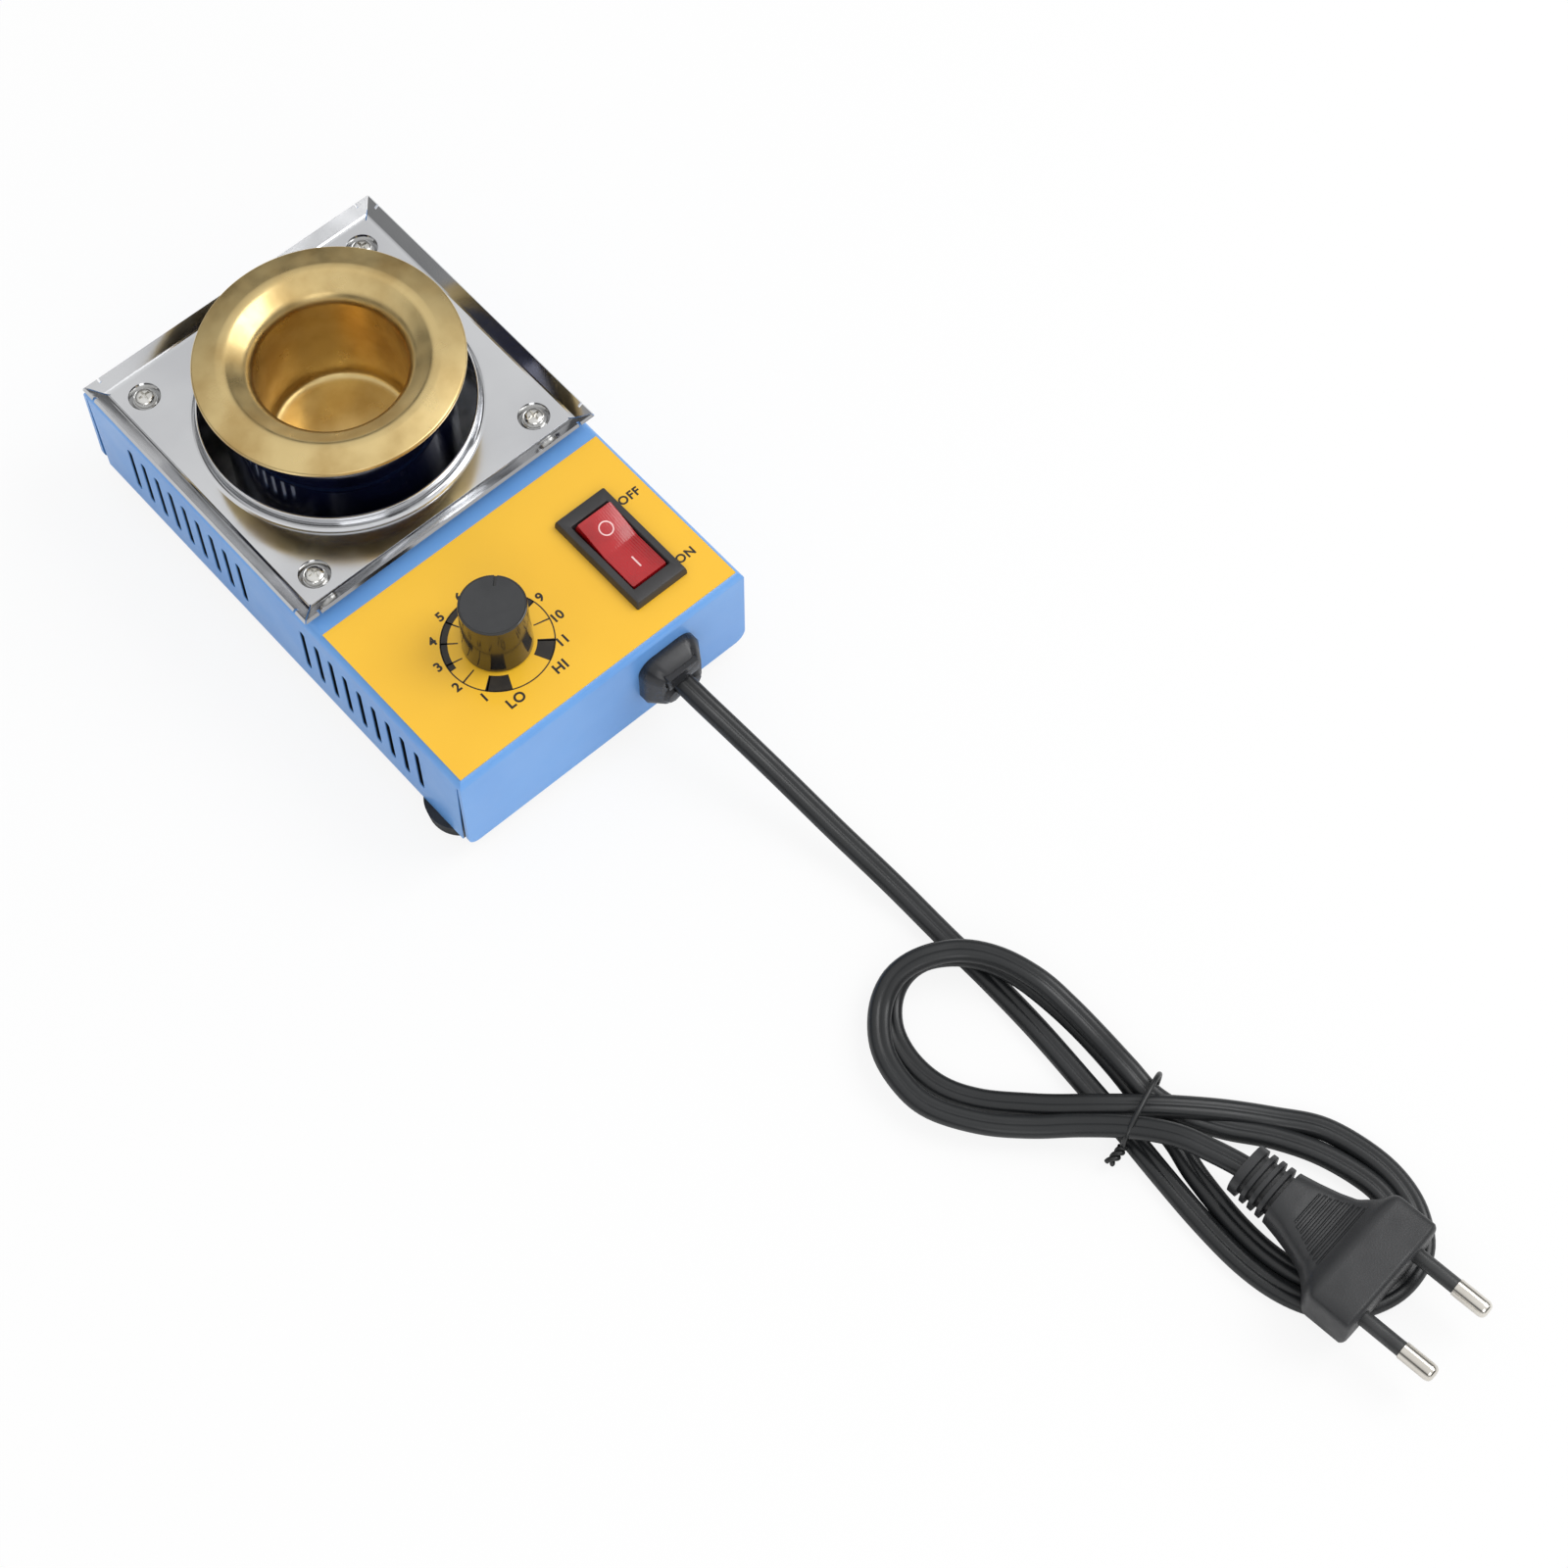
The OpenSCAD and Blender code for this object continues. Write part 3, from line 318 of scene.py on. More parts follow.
@dataclass(frozen=True)
class Enamelled(Finish):
    """Enamel on the outside of the folded housing, over painted shade on the unlit interior."""

    # painted shade: a near black laid on the sheet's inner face and slot walls, where no light
    # reaches
    painted_shade: Colour = (0.006, 0.007, 0.009)
    bend_centre: Point = (38.0, 65.5, 30.5)
    reach: float = 1.75

    def material(self) -> bpy.types.Material:
        """The enamel, with all that lies deeper than a skin below the surface painted dark as
        shade.

        The distance from the box on which the bends are centred tells skin from the shaded
        interior.
        """
        material = super().material()
        graph = Graph.reopened(material)
        beyond = [
            graph.larger((c * c).root() - edge * MM, 0.0)
            for c, edge in zip(graph.parts(graph.place()), self.bend_centre)
        ]
        distance = sum((c * c for c in beyond[1:]), beyond[0] * beyond[0]).root()
        outside = distance.ramp((self.reach - 0.1) * MM, (self.reach + 0.1) * MM)
        enamel = graph.feeding("Base Color")
        # painted shade wherever a point lies deeper than the enamel skin
        return graph.set(
            Base_Color=graph.blend(outside, self.painted_shade, enamel),
            Coat_Weight=outside * self.coat,
        )


@dataclass(frozen=True)
class Brushed(Finish):
    """Metal with straight fine lines along one axis."""

    stretch: Point = (1.0, 40.0, 40.0)

    def relief(self, graph: Graph) -> Wire:
        """Height of the lines: noise drawn out along the lines' direction."""
        return graph.noise(self.grain_scale, 2.0, graph.place(stretch=self.stretch))


@dataclass(frozen=True)
class Ribbed(Finish):
    """Clear moulding with fine ribs across the half that stands towards the front."""

    rib_pitch: float = 0.6
    from_y: float = -45.2

    def relief(self, graph: Graph) -> Wire:
        """Height of the ribs, which fade out past the middle."""
        x, y, _ = graph.parts(graph.place())
        share = y.ramp((self.from_y - 1) * MM, (self.from_y + 1) * MM, 1.0, 0.25)
        return (x * (FULL_TURN / (self.rib_pitch * MM))).sine() * share * 0.5 + 0.5


@dataclass(frozen=True)
class Turned(Finish):
    """Metal turned on a lathe: rings round an upright axis, with heat patches."""

    axis: tuple[float, float] = (0.0, 0.0245)
    ring_pitch: float = 0.35

    def rings(self, graph: Graph) -> Wire:
        """Noise that depends on radius and height only, slightly broken along the ring."""
        x, y, z = graph.parts(graph.place((self.axis[0], self.axis[1], 0)))
        radius = (x * x + y * y).root()
        wobble = graph.noise(45.0, 2.0) * (0.05 * MM)
        where = graph.join(radius + wobble, z, 0.0)
        return graph.noise(1.0 / (self.ring_pitch * MM), 3.0, where, 0.6)

    def relief(self, graph: Graph) -> Wire:
        """Height of the tool marks."""
        return self.rings(graph)


# --- surfaces


def grid_faces(rows: int, cols: int, wrap_rows: bool) -> Array:
    """Quads between neighbouring points of a grid whose rows are closed.

    Args:
        rows: Rows of points.
        cols: Points in a row.
        wrap_rows: Whether the last row joins the first.

    Returns:
        Four indices for each quad.
    """
    i, j = np.meshgrid(
        np.arange(rows if wrap_rows else rows - 1),
        np.arange(cols),
        indexing="ij",
    )
    below, right = (i + 1) % rows, (j + 1) % cols
    return np.stack(
        [i * cols + j, i * cols + right, below * cols + right, below * cols + j], -1
    ).reshape(-1, 4)


def capped(grid: Array) -> Array:
    """A tube's grid with its end rows drawn together to their middles."""
    first = np.broadcast_to(grid[0].mean(0), grid[0].shape)[None]
    last = np.broadcast_to(grid[-1].mean(0), grid[-1].shape)[None]
    return np.concatenate([first, grid, last])


def rounded_profile(corners: Sequence[tuple[float, float, float]], steps: int = 6) -> Array:
    """A polyline with round corners.

    Each inner corner (a, b, radius) is replaced by a quadratic curve that leaves its two
    legs at that distance from the corner.

    Args:
        corners: Corner points with the radius wanted at each, ends included.
        steps: Points on each round.

    Returns:
        Points in order.
    """
    out = []
    for k, (a, b, r) in enumerate(corners):
        here = np.array([a, b], float)
        if r <= 0 or k in (0, len(corners) - 1):
            out.append(here[None])
            continue
        before = np.array(corners[k - 1][:2], float) - here
        after = np.array(corners[k + 1][:2], float) - here
        reach = min(r, 0.49 * np.linalg.norm(before), 0.49 * np.linalg.norm(after))
        start = here + before / np.linalg.norm(before) * reach
        end = here + after / np.linalg.norm(after) * reach
        t = np.linspace(0, 1, steps)[:, None]
        out.append(start * (1 - t) ** 2 + here * 2 * t * (1 - t) + end * t**2)
    return np.concatenate(out)


def revolve(profile: Array, centre: Point, segments: int) -> Array:
    """A profile turned round an upright axis.

    Point (r, z) of the profile at angle a lies at (r cos a, r sin a, z) from the centre.
    """
    a = np.linspace(0, FULL_TURN, segments, endpoint=False)
    r, z = profile[:, :1], profile[:, 1:]
    return np.stack(
        [centre[0] + r * np.cos(a), centre[1] + r * np.sin(a), centre[2] + z + 0 * a], -1
    )


def rounded_rectangle(half_w: float, half_l: float, corner: float, steps: int = 8) -> Array:
    """Outline of a rectangle with round corners, counter-clockwise.

    Each corner is a quarter circle of that radius about a point inset by the radius.
    """
    corner = max(corner, 1e-4)
    a = np.linspace(0, math.pi / 2, steps)
    quarters = []
    for turn, (sx, sy) in enumerate(((1, 1), (-1, 1), (-1, -1), (1, -1))):
        angle = a + turn * math.pi / 2
        x = sx * (half_w - corner) + corner * np.cos(angle)
        y = sy * (half_l - corner) + corner * np.sin(angle)
        quarters.append(np.stack([x, y], -1))
    return np.concatenate(quarters)


def catmull_rom(points: Array, step: float) -> Array:
    """A smooth line through points, resampled to even steps.

    Each span is the uniform Catmull-Rom cubic of its four neighbours.

    Args:
        points: Points to pass through.
        step: Distance between the points returned.

    Returns:
        Points along the line.
    """
    ends = np.concatenate(
        [[2 * points[0] - points[1]], points, [2 * points[-1] - points[-2]]]
    )
    t = np.linspace(0, 1, 24, endpoint=False)[None, :, None]
    p0, p1, p2, p3 = (ends[k : len(ends) - 3 + k][:, None, :] for k in range(4))
    line = 0.5 * (
        2 * p1
        + (p2 - p0) * t
        + (2 * p0 - 5 * p1 + 4 * p2 - p3) * t**2
        + (3 * p1 - p0 - 3 * p2 + p3) * t**3
    )
    line = np.concatenate([line.reshape(-1, 3), points[-1:]])
    run = np.concatenate([[0], np.cumsum(np.linalg.norm(np.diff(line, axis=0), axis=1))])
    at = np.linspace(0, run[-1], max(int(run[-1] / step), 2))
    return np.stack([np.interp(at, run, line[:, k]) for k in range(3)], -1)


def swept(profile: Array, path: Array) -> Array:
    """A flat profile carried along a path with its width kept level.

    The width direction is up cross tangent, and the thickness direction completes the set.
    """
    tangent = np.gradient(path, axis=0)
    tangent /= np.linalg.norm(tangent, axis=1, keepdims=True)
    across = np.cross(np.array([0.0, 0.0, 1.0]), tangent)
    across /= np.linalg.norm(across, axis=1, keepdims=True)
    above = np.cross(tangent, across)
    return (
        path[:, None, :]
        + across[:, None, :] * profile[None, :, :1]
        + above[:, None, :] * profile[None, :, 1:]
    )


def superellipse(count: int, power: float = 2.0) -> Array:
    """Unit outline where |x|^power + |y|^power = 1."""
    a = np.linspace(0, FULL_TURN, count, endpoint=False)
    c, s = np.cos(a), np.sin(a)
    return np.stack(
        [np.sign(c) * abs(c) ** (2 / power), np.sign(s) * abs(s) ** (2 / power)], -1
    )


# --- pieces


def in_scene(name: str, data: bpy.types.ID) -> bpy.types.Object:
    """Makes an object of some data and links it to the scene."""
    thing = bpy.data.objects.new(name, data)
    bpy.context.scene.collection.objects.link(thing)
    return thing


@dataclass
class Maker:
    """Turns grids of points into pieces that ride on one body."""

    body: Body

    def keep(
        self, thing: bpy.types.Object, finish: Finish, replaces: Sequence[str]
    ) -> bpy.types.Object:
        """Gives a piece its finish, body and slot, and hides the nodes it stands for."""
        thing.data.materials.clear()
        thing.data.materials.append(finish.material())
        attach(thing, self.body.value)
        if replaces:
            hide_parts(*replaces)
        log.info("%s rides on %s", thing.name, self.body.value)
        return thing

    def surface(
        self,
        name: str,
        grids: Array | Sequence[Array],
        finish: Finish,
        replaces: Sequence[str] = (),
        wrap_rows: bool = False,
        sharp: float = 40.0,
    ) -> bpy.types.Object:
        """Makes one piece from one or more grids of points in millimetres.

        Args:
            name: The piece's name.
            grids: Arrays of rows by columns by three.
            finish: Its finish.
            replaces: CAD nodes it stands for.
            wrap_rows: Whether the last row joins the first.
            sharp: Edges sharper than this angle stay sharp.

        Returns:
            The piece.
        """
        grids = [grids] if isinstance(grids, np.ndarray) else list(grids)
        verts, faces, start = [], [], 0
        for grid in grids:
            rows, cols = grid.shape[:2]
            verts.append(grid.reshape(-1, 3) * MM)
            faces.append(grid_faces(rows, cols, wrap_rows) + start)
            start += rows * cols
        mesh = bpy.data.meshes.new(name)
        mesh.from_pydata(np.concatenate(verts).tolist(), [], np.concatenate(faces).tolist())
        tidy_mesh(mesh, sharp)
        thing = in_scene(name, mesh)
        return self.keep(thing, finish, replaces)

    def recast(
        self, node: str, finish: Finish, bevel: float, sharp: float
    ) -> bpy.types.Object:
        """A smoothed copy of a CAD node that stands for it.

        Args:
            node: The node's name.
            finish: Its finish.
            bevel: Width of rounded edges in millimetres.
            sharp: Edges sharper than this angle stay sharp.

        Returns:
            The copy.
        """
        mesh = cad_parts[node].data.copy()
        mesh.name = node + "_dressed"
        tidy_mesh(mesh, sharp, recalculate=False)
        thing = in_scene(node + "_dressed", mesh)
        cut = thing.modifiers.new("edge", "BEVEL")
        cut.width = bevel * MM
        cut.segments = 2
        cut.limit_method = "ANGLE"
        cut.angle_limit = BEVEL_ANGLE
        return self.keep(thing, finish, (node,))


def tidy_mesh(mesh: bpy.types.Mesh, sharp: float, recalculate: bool = True) -> None:
    """Merges doubled points, turns faces outwards and smooths all but sharp edges."""
    work = bmesh.new()
    work.from_mesh(mesh)
    bmesh.ops.remove_doubles(work, verts=work.verts, dist=MERGE_DISTANCE)
    if recalculate:
        bmesh.ops.recalc_face_normals(work, faces=work.faces)
    work.to_mesh(mesh)
    work.free()
    mesh.shade_smooth()
    mesh.set_sharp_from_angle(angle=math.radians(sharp))


def dress(node: str, finish: Finish) -> None:
    """Gives a CAD node that stays in view its finish."""
    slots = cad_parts[node].data.materials
    slots.clear()
    slots.append(finish.material())


# --- colours and finishes


ENAMEL = Enamelled(
    "blue_enamel", (112, 168, 232), (102, 158, 225), roughness=(0.28, 0.4),
    patch_scale=35.0, grain_scale=2600.0, grain_depth=0.012, coat=0.25, coat_roughness=0.12
)
MIRROR = Brushed(
    "polished_steel", (214, 215, 217), (200, 201, 204), roughness=(0.09, 0.17),
    metallic=1.0, patch_scale=28.0, grain_scale=420.0, grain_depth=0.002,
    stretch=(1.0, 9.0, 9.0)
)
# painted reflection: the heater can is mirror steel, and its dark navy base colour stands in for
# the dark surroundings it mirrors; its coat gloss is real
CAN_PAINTED_REFLECTION = Finish(
    "can_steel", (22, 27, 58), (12, 14, 34), roughness=(0.08, 0.18), metallic=0.55,
    patch_scale=50.0, grain_scale=700.0, grain_depth=0.004, coat=0.8, coat_roughness=0.06
)
GOLD = Turned(
    "gold_metal", (220, 196, 140), (190, 160, 104), roughness=(0.27, 0.4),
    metallic=1.0, patch_scale=75.0, grain_depth=0.006
)
FILM = Finish(
    "label_film", (255, 200, 50), (251, 194, 46), roughness=(0.32, 0.42),
    patch_scale=25.0, grain_scale=3200.0, grain_depth=0.006, coat=0.15
)
INK = Finish(
    "label_film", (38, 34, 30), (50, 44, 36), roughness=(0.4, 0.5),
    patch_scale=300.0, grain_scale=3200.0, grain_depth=0.006, own_name="label_ink"
)
KNOB_BLACK = Finish(
    "knob_plastic", (28, 27, 27), (20, 20, 21), roughness=(0.14, 0.24),
    patch_scale=90.0, grain_scale=900.0, grain_depth=0.003, coat=0.5
)
CAP_BLACK = Finish(
    "cap_plastic", (56, 57, 59), (48, 49, 51), roughness=(0.45, 0.6),
    patch_scale=120.0, grain_scale=3000.0
)
SWITCH_BLACK = Finish(
    "switch_plastic", (58, 57, 58), (46, 46, 47), roughness=(0.42, 0.55),
    patch_scale=80.0, grain_scale=2600.0
)
ROCKER_RED = Ribbed(
    "rocker_red", (184, 20, 28), (150, 10, 18), roughness=(0.12, 0.22),
    patch_scale=110.0, grain_depth=0.05, coat=0.4
)
WHITE_MARK = Finish(
    "rocker_red", (250, 214, 212), (240, 200, 198), roughness=(0.4, 0.5),
    patch_scale=300.0, grain_scale=3000.0, grain_depth=0.005, own_name="rocker_marks"
)
RUBBER = Finish(
    "foot_rubber", (44, 45, 47), (34, 35, 37), roughness=(0.55, 0.75),
    patch_scale=140.0, grain_scale=2200.0, grain_depth=0.04
)
NICKEL = Finish(
    "nickel", (222, 221, 217), (196, 194, 189), roughness=(0.12, 0.26),
    metallic=1.0, patch_scale=260.0, grain_depth=0.006
)
PIN_NICKEL = Finish(
    "pin_nickel", (226, 222, 214), (204, 199, 190), roughness=(0.16, 0.22),
    metallic=1.0, grain_scale=1800.0, grain_depth=0.001
)
ZINC = Finish(
    "zinc_plate", (190, 192, 196), (160, 163, 168), roughness=(0.3, 0.48),
    metallic=1.0, patch_scale=150.0, grain_scale=900.0, grain_depth=0.01
)
CORD_BLACK = Finish(
    "cord_pvc", (30, 32, 34), (24, 26, 28), roughness=(0.31, 0.4), patch_scale=70.0,
    grain_scale=1400.0, grain_depth=0.004
)
PLUG_BLACK = Finish(
    "plug_pvc", (42, 43, 45), (35, 36, 38), roughness=(0.38, 0.5), patch_scale=90.0,
    grain_scale=2400.0, grain_depth=0.025
)
SLEEVE_BLACK = Finish(
    "sleeve_plastic", (56, 57, 58), (46, 47, 48), roughness=(0.35, 0.45),
    patch_scale=200.0, grain_scale=2400.0, grain_depth=0.01
)
RELIEF_BLACK = Finish(
    "relief_nylon", (38, 39, 42), (30, 31, 34), roughness=(0.24, 0.34),
    patch_scale=120.0, grain_scale=2000.0, grain_depth=0.012
)
TIE_BLACK = Finish(
    "tie_plastic", (36, 37, 38), (28, 29, 30), roughness=(0.25, 0.38),
    patch_scale=200.0, grain_depth=0.01
)
FIBRE = Finish(
    "ceramic_fibre", (236, 232, 222), (214, 208, 196), roughness=(0.85, 0.95),
    patch_scale=220.0, grain_scale=1100.0, grain_depth=0.15, sheen=0.2
)
BAND_STEEL = Turned(
    "heater_steel", (150, 146, 140), (112, 104, 98), roughness=(0.35, 0.5),
    metallic=1.0, grain_depth=0.01
)
POT_CASE = Finish(
    "pot_case", (112, 74, 42), (92, 58, 32), roughness=(0.5, 0.65),
    patch_scale=240.0, grain_depth=0.03
)
TINNED = Finish(
    "tinned_brass", (214, 206, 182), (190, 178, 148), roughness=(0.25, 0.4),
    metallic=1.0, patch_scale=260.0, grain_depth=0.008
)
BOARD = Finish(
    "board_green", (24, 104, 62), (18, 84, 50), roughness=(0.3, 0.42),
    patch_scale=420.0, grain_scale=3200.0, coat=0.3
)
NYLON = Finish(
    "nylon", (232, 230, 220), (218, 214, 202), roughness=(0.4, 0.5),
    patch_scale=180.0, grain_depth=0.01
)
EPOXY = Finish(
    "epoxy_black", (36, 36, 38), (28, 28, 30), roughness=(0.5, 0.62),
    patch_scale=300.0
)
ALUMINIUM = Brushed(
    "bare_aluminium", (208, 210, 213), (184, 186, 190), roughness=(0.3, 0.45),
    metallic=1.0, grain_scale=600.0, grain_depth=0.01, stretch=(20.0, 20.0, 1.0)
)
CAPACITOR_YELLOW = Finish(
    "capacitor_film", (222, 176, 62), (206, 158, 50), roughness=(0.3, 0.42),
    patch_scale=200.0, grain_depth=0.015
)
CHOKE_COPPER = Turned(
    "choke_wire", (188, 104, 52), (146, 74, 34), roughness=(0.3, 0.42),
    metallic=0.8, grain_depth=0.12, axis=(0.0, -0.05), ring_pitch=0.5
)
FUSE_GLASS = Finish(
    "fuse_glass", (220, 232, 232), (206, 220, 220), roughness=(0.04, 0.1),
    patch_scale=200.0, grain_depth=0.002, alpha=0.4
)
TERMINAL_GREEN = Finish(
    "terminal_green", (52, 150, 88), (42, 128, 74), roughness=(0.36, 0.48),
    patch_scale=200.0, grain_depth=0.015
)

# CAD nodes that stay in view, by finish
NODE_FINISHES = {
    ENAMEL: "housing",
    ZINC: "bottom_cover cover_posts can_standoffs pot_bush pot_washer pot_nut",
    RUBBER: "feet",
    NICKEL: "foot_screws tray_screws tray_nuts can_screws "
    "band_screw crucible_nut pot_shaft fuse_clips",
    MIRROR: "tray",
    CAN_PAINTED_REFLECTION: "heater_can",
    FIBRE: "insulation_pad insulation_sleeve",
    BAND_STEEL: "heater_band",
    FILM: "panel_label",
    KNOB_BLACK: "knob",
    CAP_BLACK: "knob_cap",
    POT_CASE: "pot_body",
    TINNED: "switch_terminals",
    BOARD: "control_board",
    NYLON: "board_standoffs",
    EPOXY: "triac",
    ALUMINIUM: "heat_sink",
    CAPACITOR_YELLOW: "capacitor",
    CHOKE_COPPER: "choke",
    FUSE_GLASS: "fuse",
    TERMINAL_GREEN: "terminal_block",
    SLEEVE_BLACK: "plug_sleeves",
    PIN_NICKEL: "plug_pins",
}


# --- studio


def mixed(
    tree: bpy.types.NodeTree,
    share: bpy.types.NodeSocket,
    first: bpy.types.Node,
    second: bpy.types.Node,
) -> bpy.types.Node:
    """A Mix Shader node from one shader to another."""
    inputs = {0: share, 1: first.outputs[0], 2: second.outputs[0]}
    return add_node(tree, "ShaderNodeMixShader", inputs)


@dataclass
class Studio:
    """Camera, lamps, pale floor and pale surroundings.

    sky holds height shares and the grey that glossy surfaces mirror there.
    """

    eye: Point = (-205.3, -355.8, 661.2)
    look_at: Point = (23.3, -99.6, 0.0)
    roll: float = 0.175
    lens: float = 76.84
    floor_half: float = 4.0
    floor_level: float = 0.93
    floor_glow: float = 0.86
    ambient: float = 0.7
    sky: tuple = (
        (0.0, 0.9), (0.5, 0.8), (0.58, 0.6), (0.66, 0.14), (0.75, 0.1), (0.82, 0.7),
        (0.9, 0.86), (1.0, 0.95),
    )

    def camera(self) -> None:
        """Places the camera, looking along its line with a small roll."""
        data = bpy.data.cameras.new("camera")
        data.lens = self.lens
        data.sensor_width = 36.0
        data.clip_start = 0.01
        data.clip_end = 50.0
        thing = in_scene("camera", data)
        eye, target = Vector(self.eye) * MM, Vector(self.look_at) * MM
        aim = (target - eye).to_track_quat("-Z", "Y").to_matrix().to_4x4()
        thing.matrix_world = (
            Matrix.Translation(eye) @ aim @ Matrix.Rotation(math.radians(self.roll), 4, "Z")
        )
        bpy.context.scene.camera = thing

    def lamp(self, name: str, place: Point, size: float, power: float) -> None:
        """Adds a soft square lamp that looks at the object."""
        data = bpy.data.lights.new(name, "AREA")
        data.size = size
        data.energy = power
        thing = in_scene(name, data)
        spot = Vector(place)
        thing.location = spot
        thing.rotation_mode = "QUATERNION"
        thing.rotation_quaternion = (Vector((0, 0, 0.03)) - spot).to_track_quat("-Z", "Y")

    def world(self) -> None:
        """White to the camera, even light to matt surfaces, bright above for gloss."""
        world = bpy.data.worlds.new("studio")
        bpy.context.scene.world = world
        world.use_nodes = True
        tree = world.node_tree
        tree.nodes.clear()
        white = (1, 1, 1, 1)
        rays = add_node(tree, "ShaderNodeLightPath")
        even = add_node(tree, "ShaderNodeBackground", {0: white, 1: self.ambient})
        shown = add_node(tree, "ShaderNodeBackground", {0: white})
        coords = add_node(tree, "ShaderNodeTexCoord")
        split = add_node(tree, "ShaderNodeSeparateXYZ", {0: coords.outputs["Generated"]})
        inputs = {0: split.outputs[2], 1: 0.5, 2: 0.5}
        height = add_node(tree, "ShaderNodeMath", inputs, {"operation": "MULTIPLY_ADD"})
        ramp = add_node(tree, "ShaderNodeValToRGB", {0: height.outputs[0]})
        while len(ramp.color_ramp.elements) < len(self.sky):
            ramp.color_ramp.elements.new(0.5)
        for element, (at, level) in zip(ramp.color_ramp.elements, self.sky):
            element.position = at
            element.color = (level, level, level, 1)
        mirrored = add_node(tree, "ShaderNodeBackground", {0: ramp.outputs[0]})
        glossy, seen = rays.outputs["Is Glossy Ray"], rays.outputs["Is Camera Ray"]
        gloss = mixed(tree, glossy, even, mirrored)
        final = mixed(tree, seen, gloss, shown)
        add_node(tree, "ShaderNodeOutputWorld", {0: final.outputs[0]})

    def floor(self) -> None:
        """A pale floor that goes white to the camera and keeps a faint shadow."""
        side = self.floor_half
        mesh = bpy.data.meshes.new("floor")
        corners = [(-side, -side, 0), (side, -side, 0), (side, side, 0), (-side, side, 0)]
        mesh.from_pydata(corners, [], [(0, 1, 2, 3)])
        thing = in_scene("floor", mesh)
        material = bpy.data.materials.new("floor_white")
        material.use_nodes = True
        tree = material.node_tree
        tree.nodes.clear()
        rays = add_node(tree, "ShaderNodeLightPath")
        matt = add_node(tree, "ShaderNodeBsdfDiffuse", {0: (*[self.floor_level] * 3, 1)})
        glow = add_node(tree, "ShaderNodeEmission", {1: 1.0})
        seen = rays.outputs["Is Camera Ray"]
        inputs = {0: seen, 1: self.floor_glow}
        share = add_node(tree, "ShaderNodeMath", inputs, {"operation": "MULTIPLY"})
        both = mixed(tree, share.outputs[0], matt, glow)
        add_node(tree, "ShaderNodeOutputMaterial", {0: both.outputs[0]})
        mesh.materials.append(material)

    def build(self) -> None:
        """Makes all of it."""
        bpy.context.scene.view_settings.view_transform = "Standard"
        self.camera()
        self.world()
        self.floor()
        self.lamp("key", (0.9, -0.5, 1.2), 0.9, 9.0)
        self.lamp("fill", (-0.6, -1.1, 0.9), 0.7, 3.0)


# --- sub-assemblies


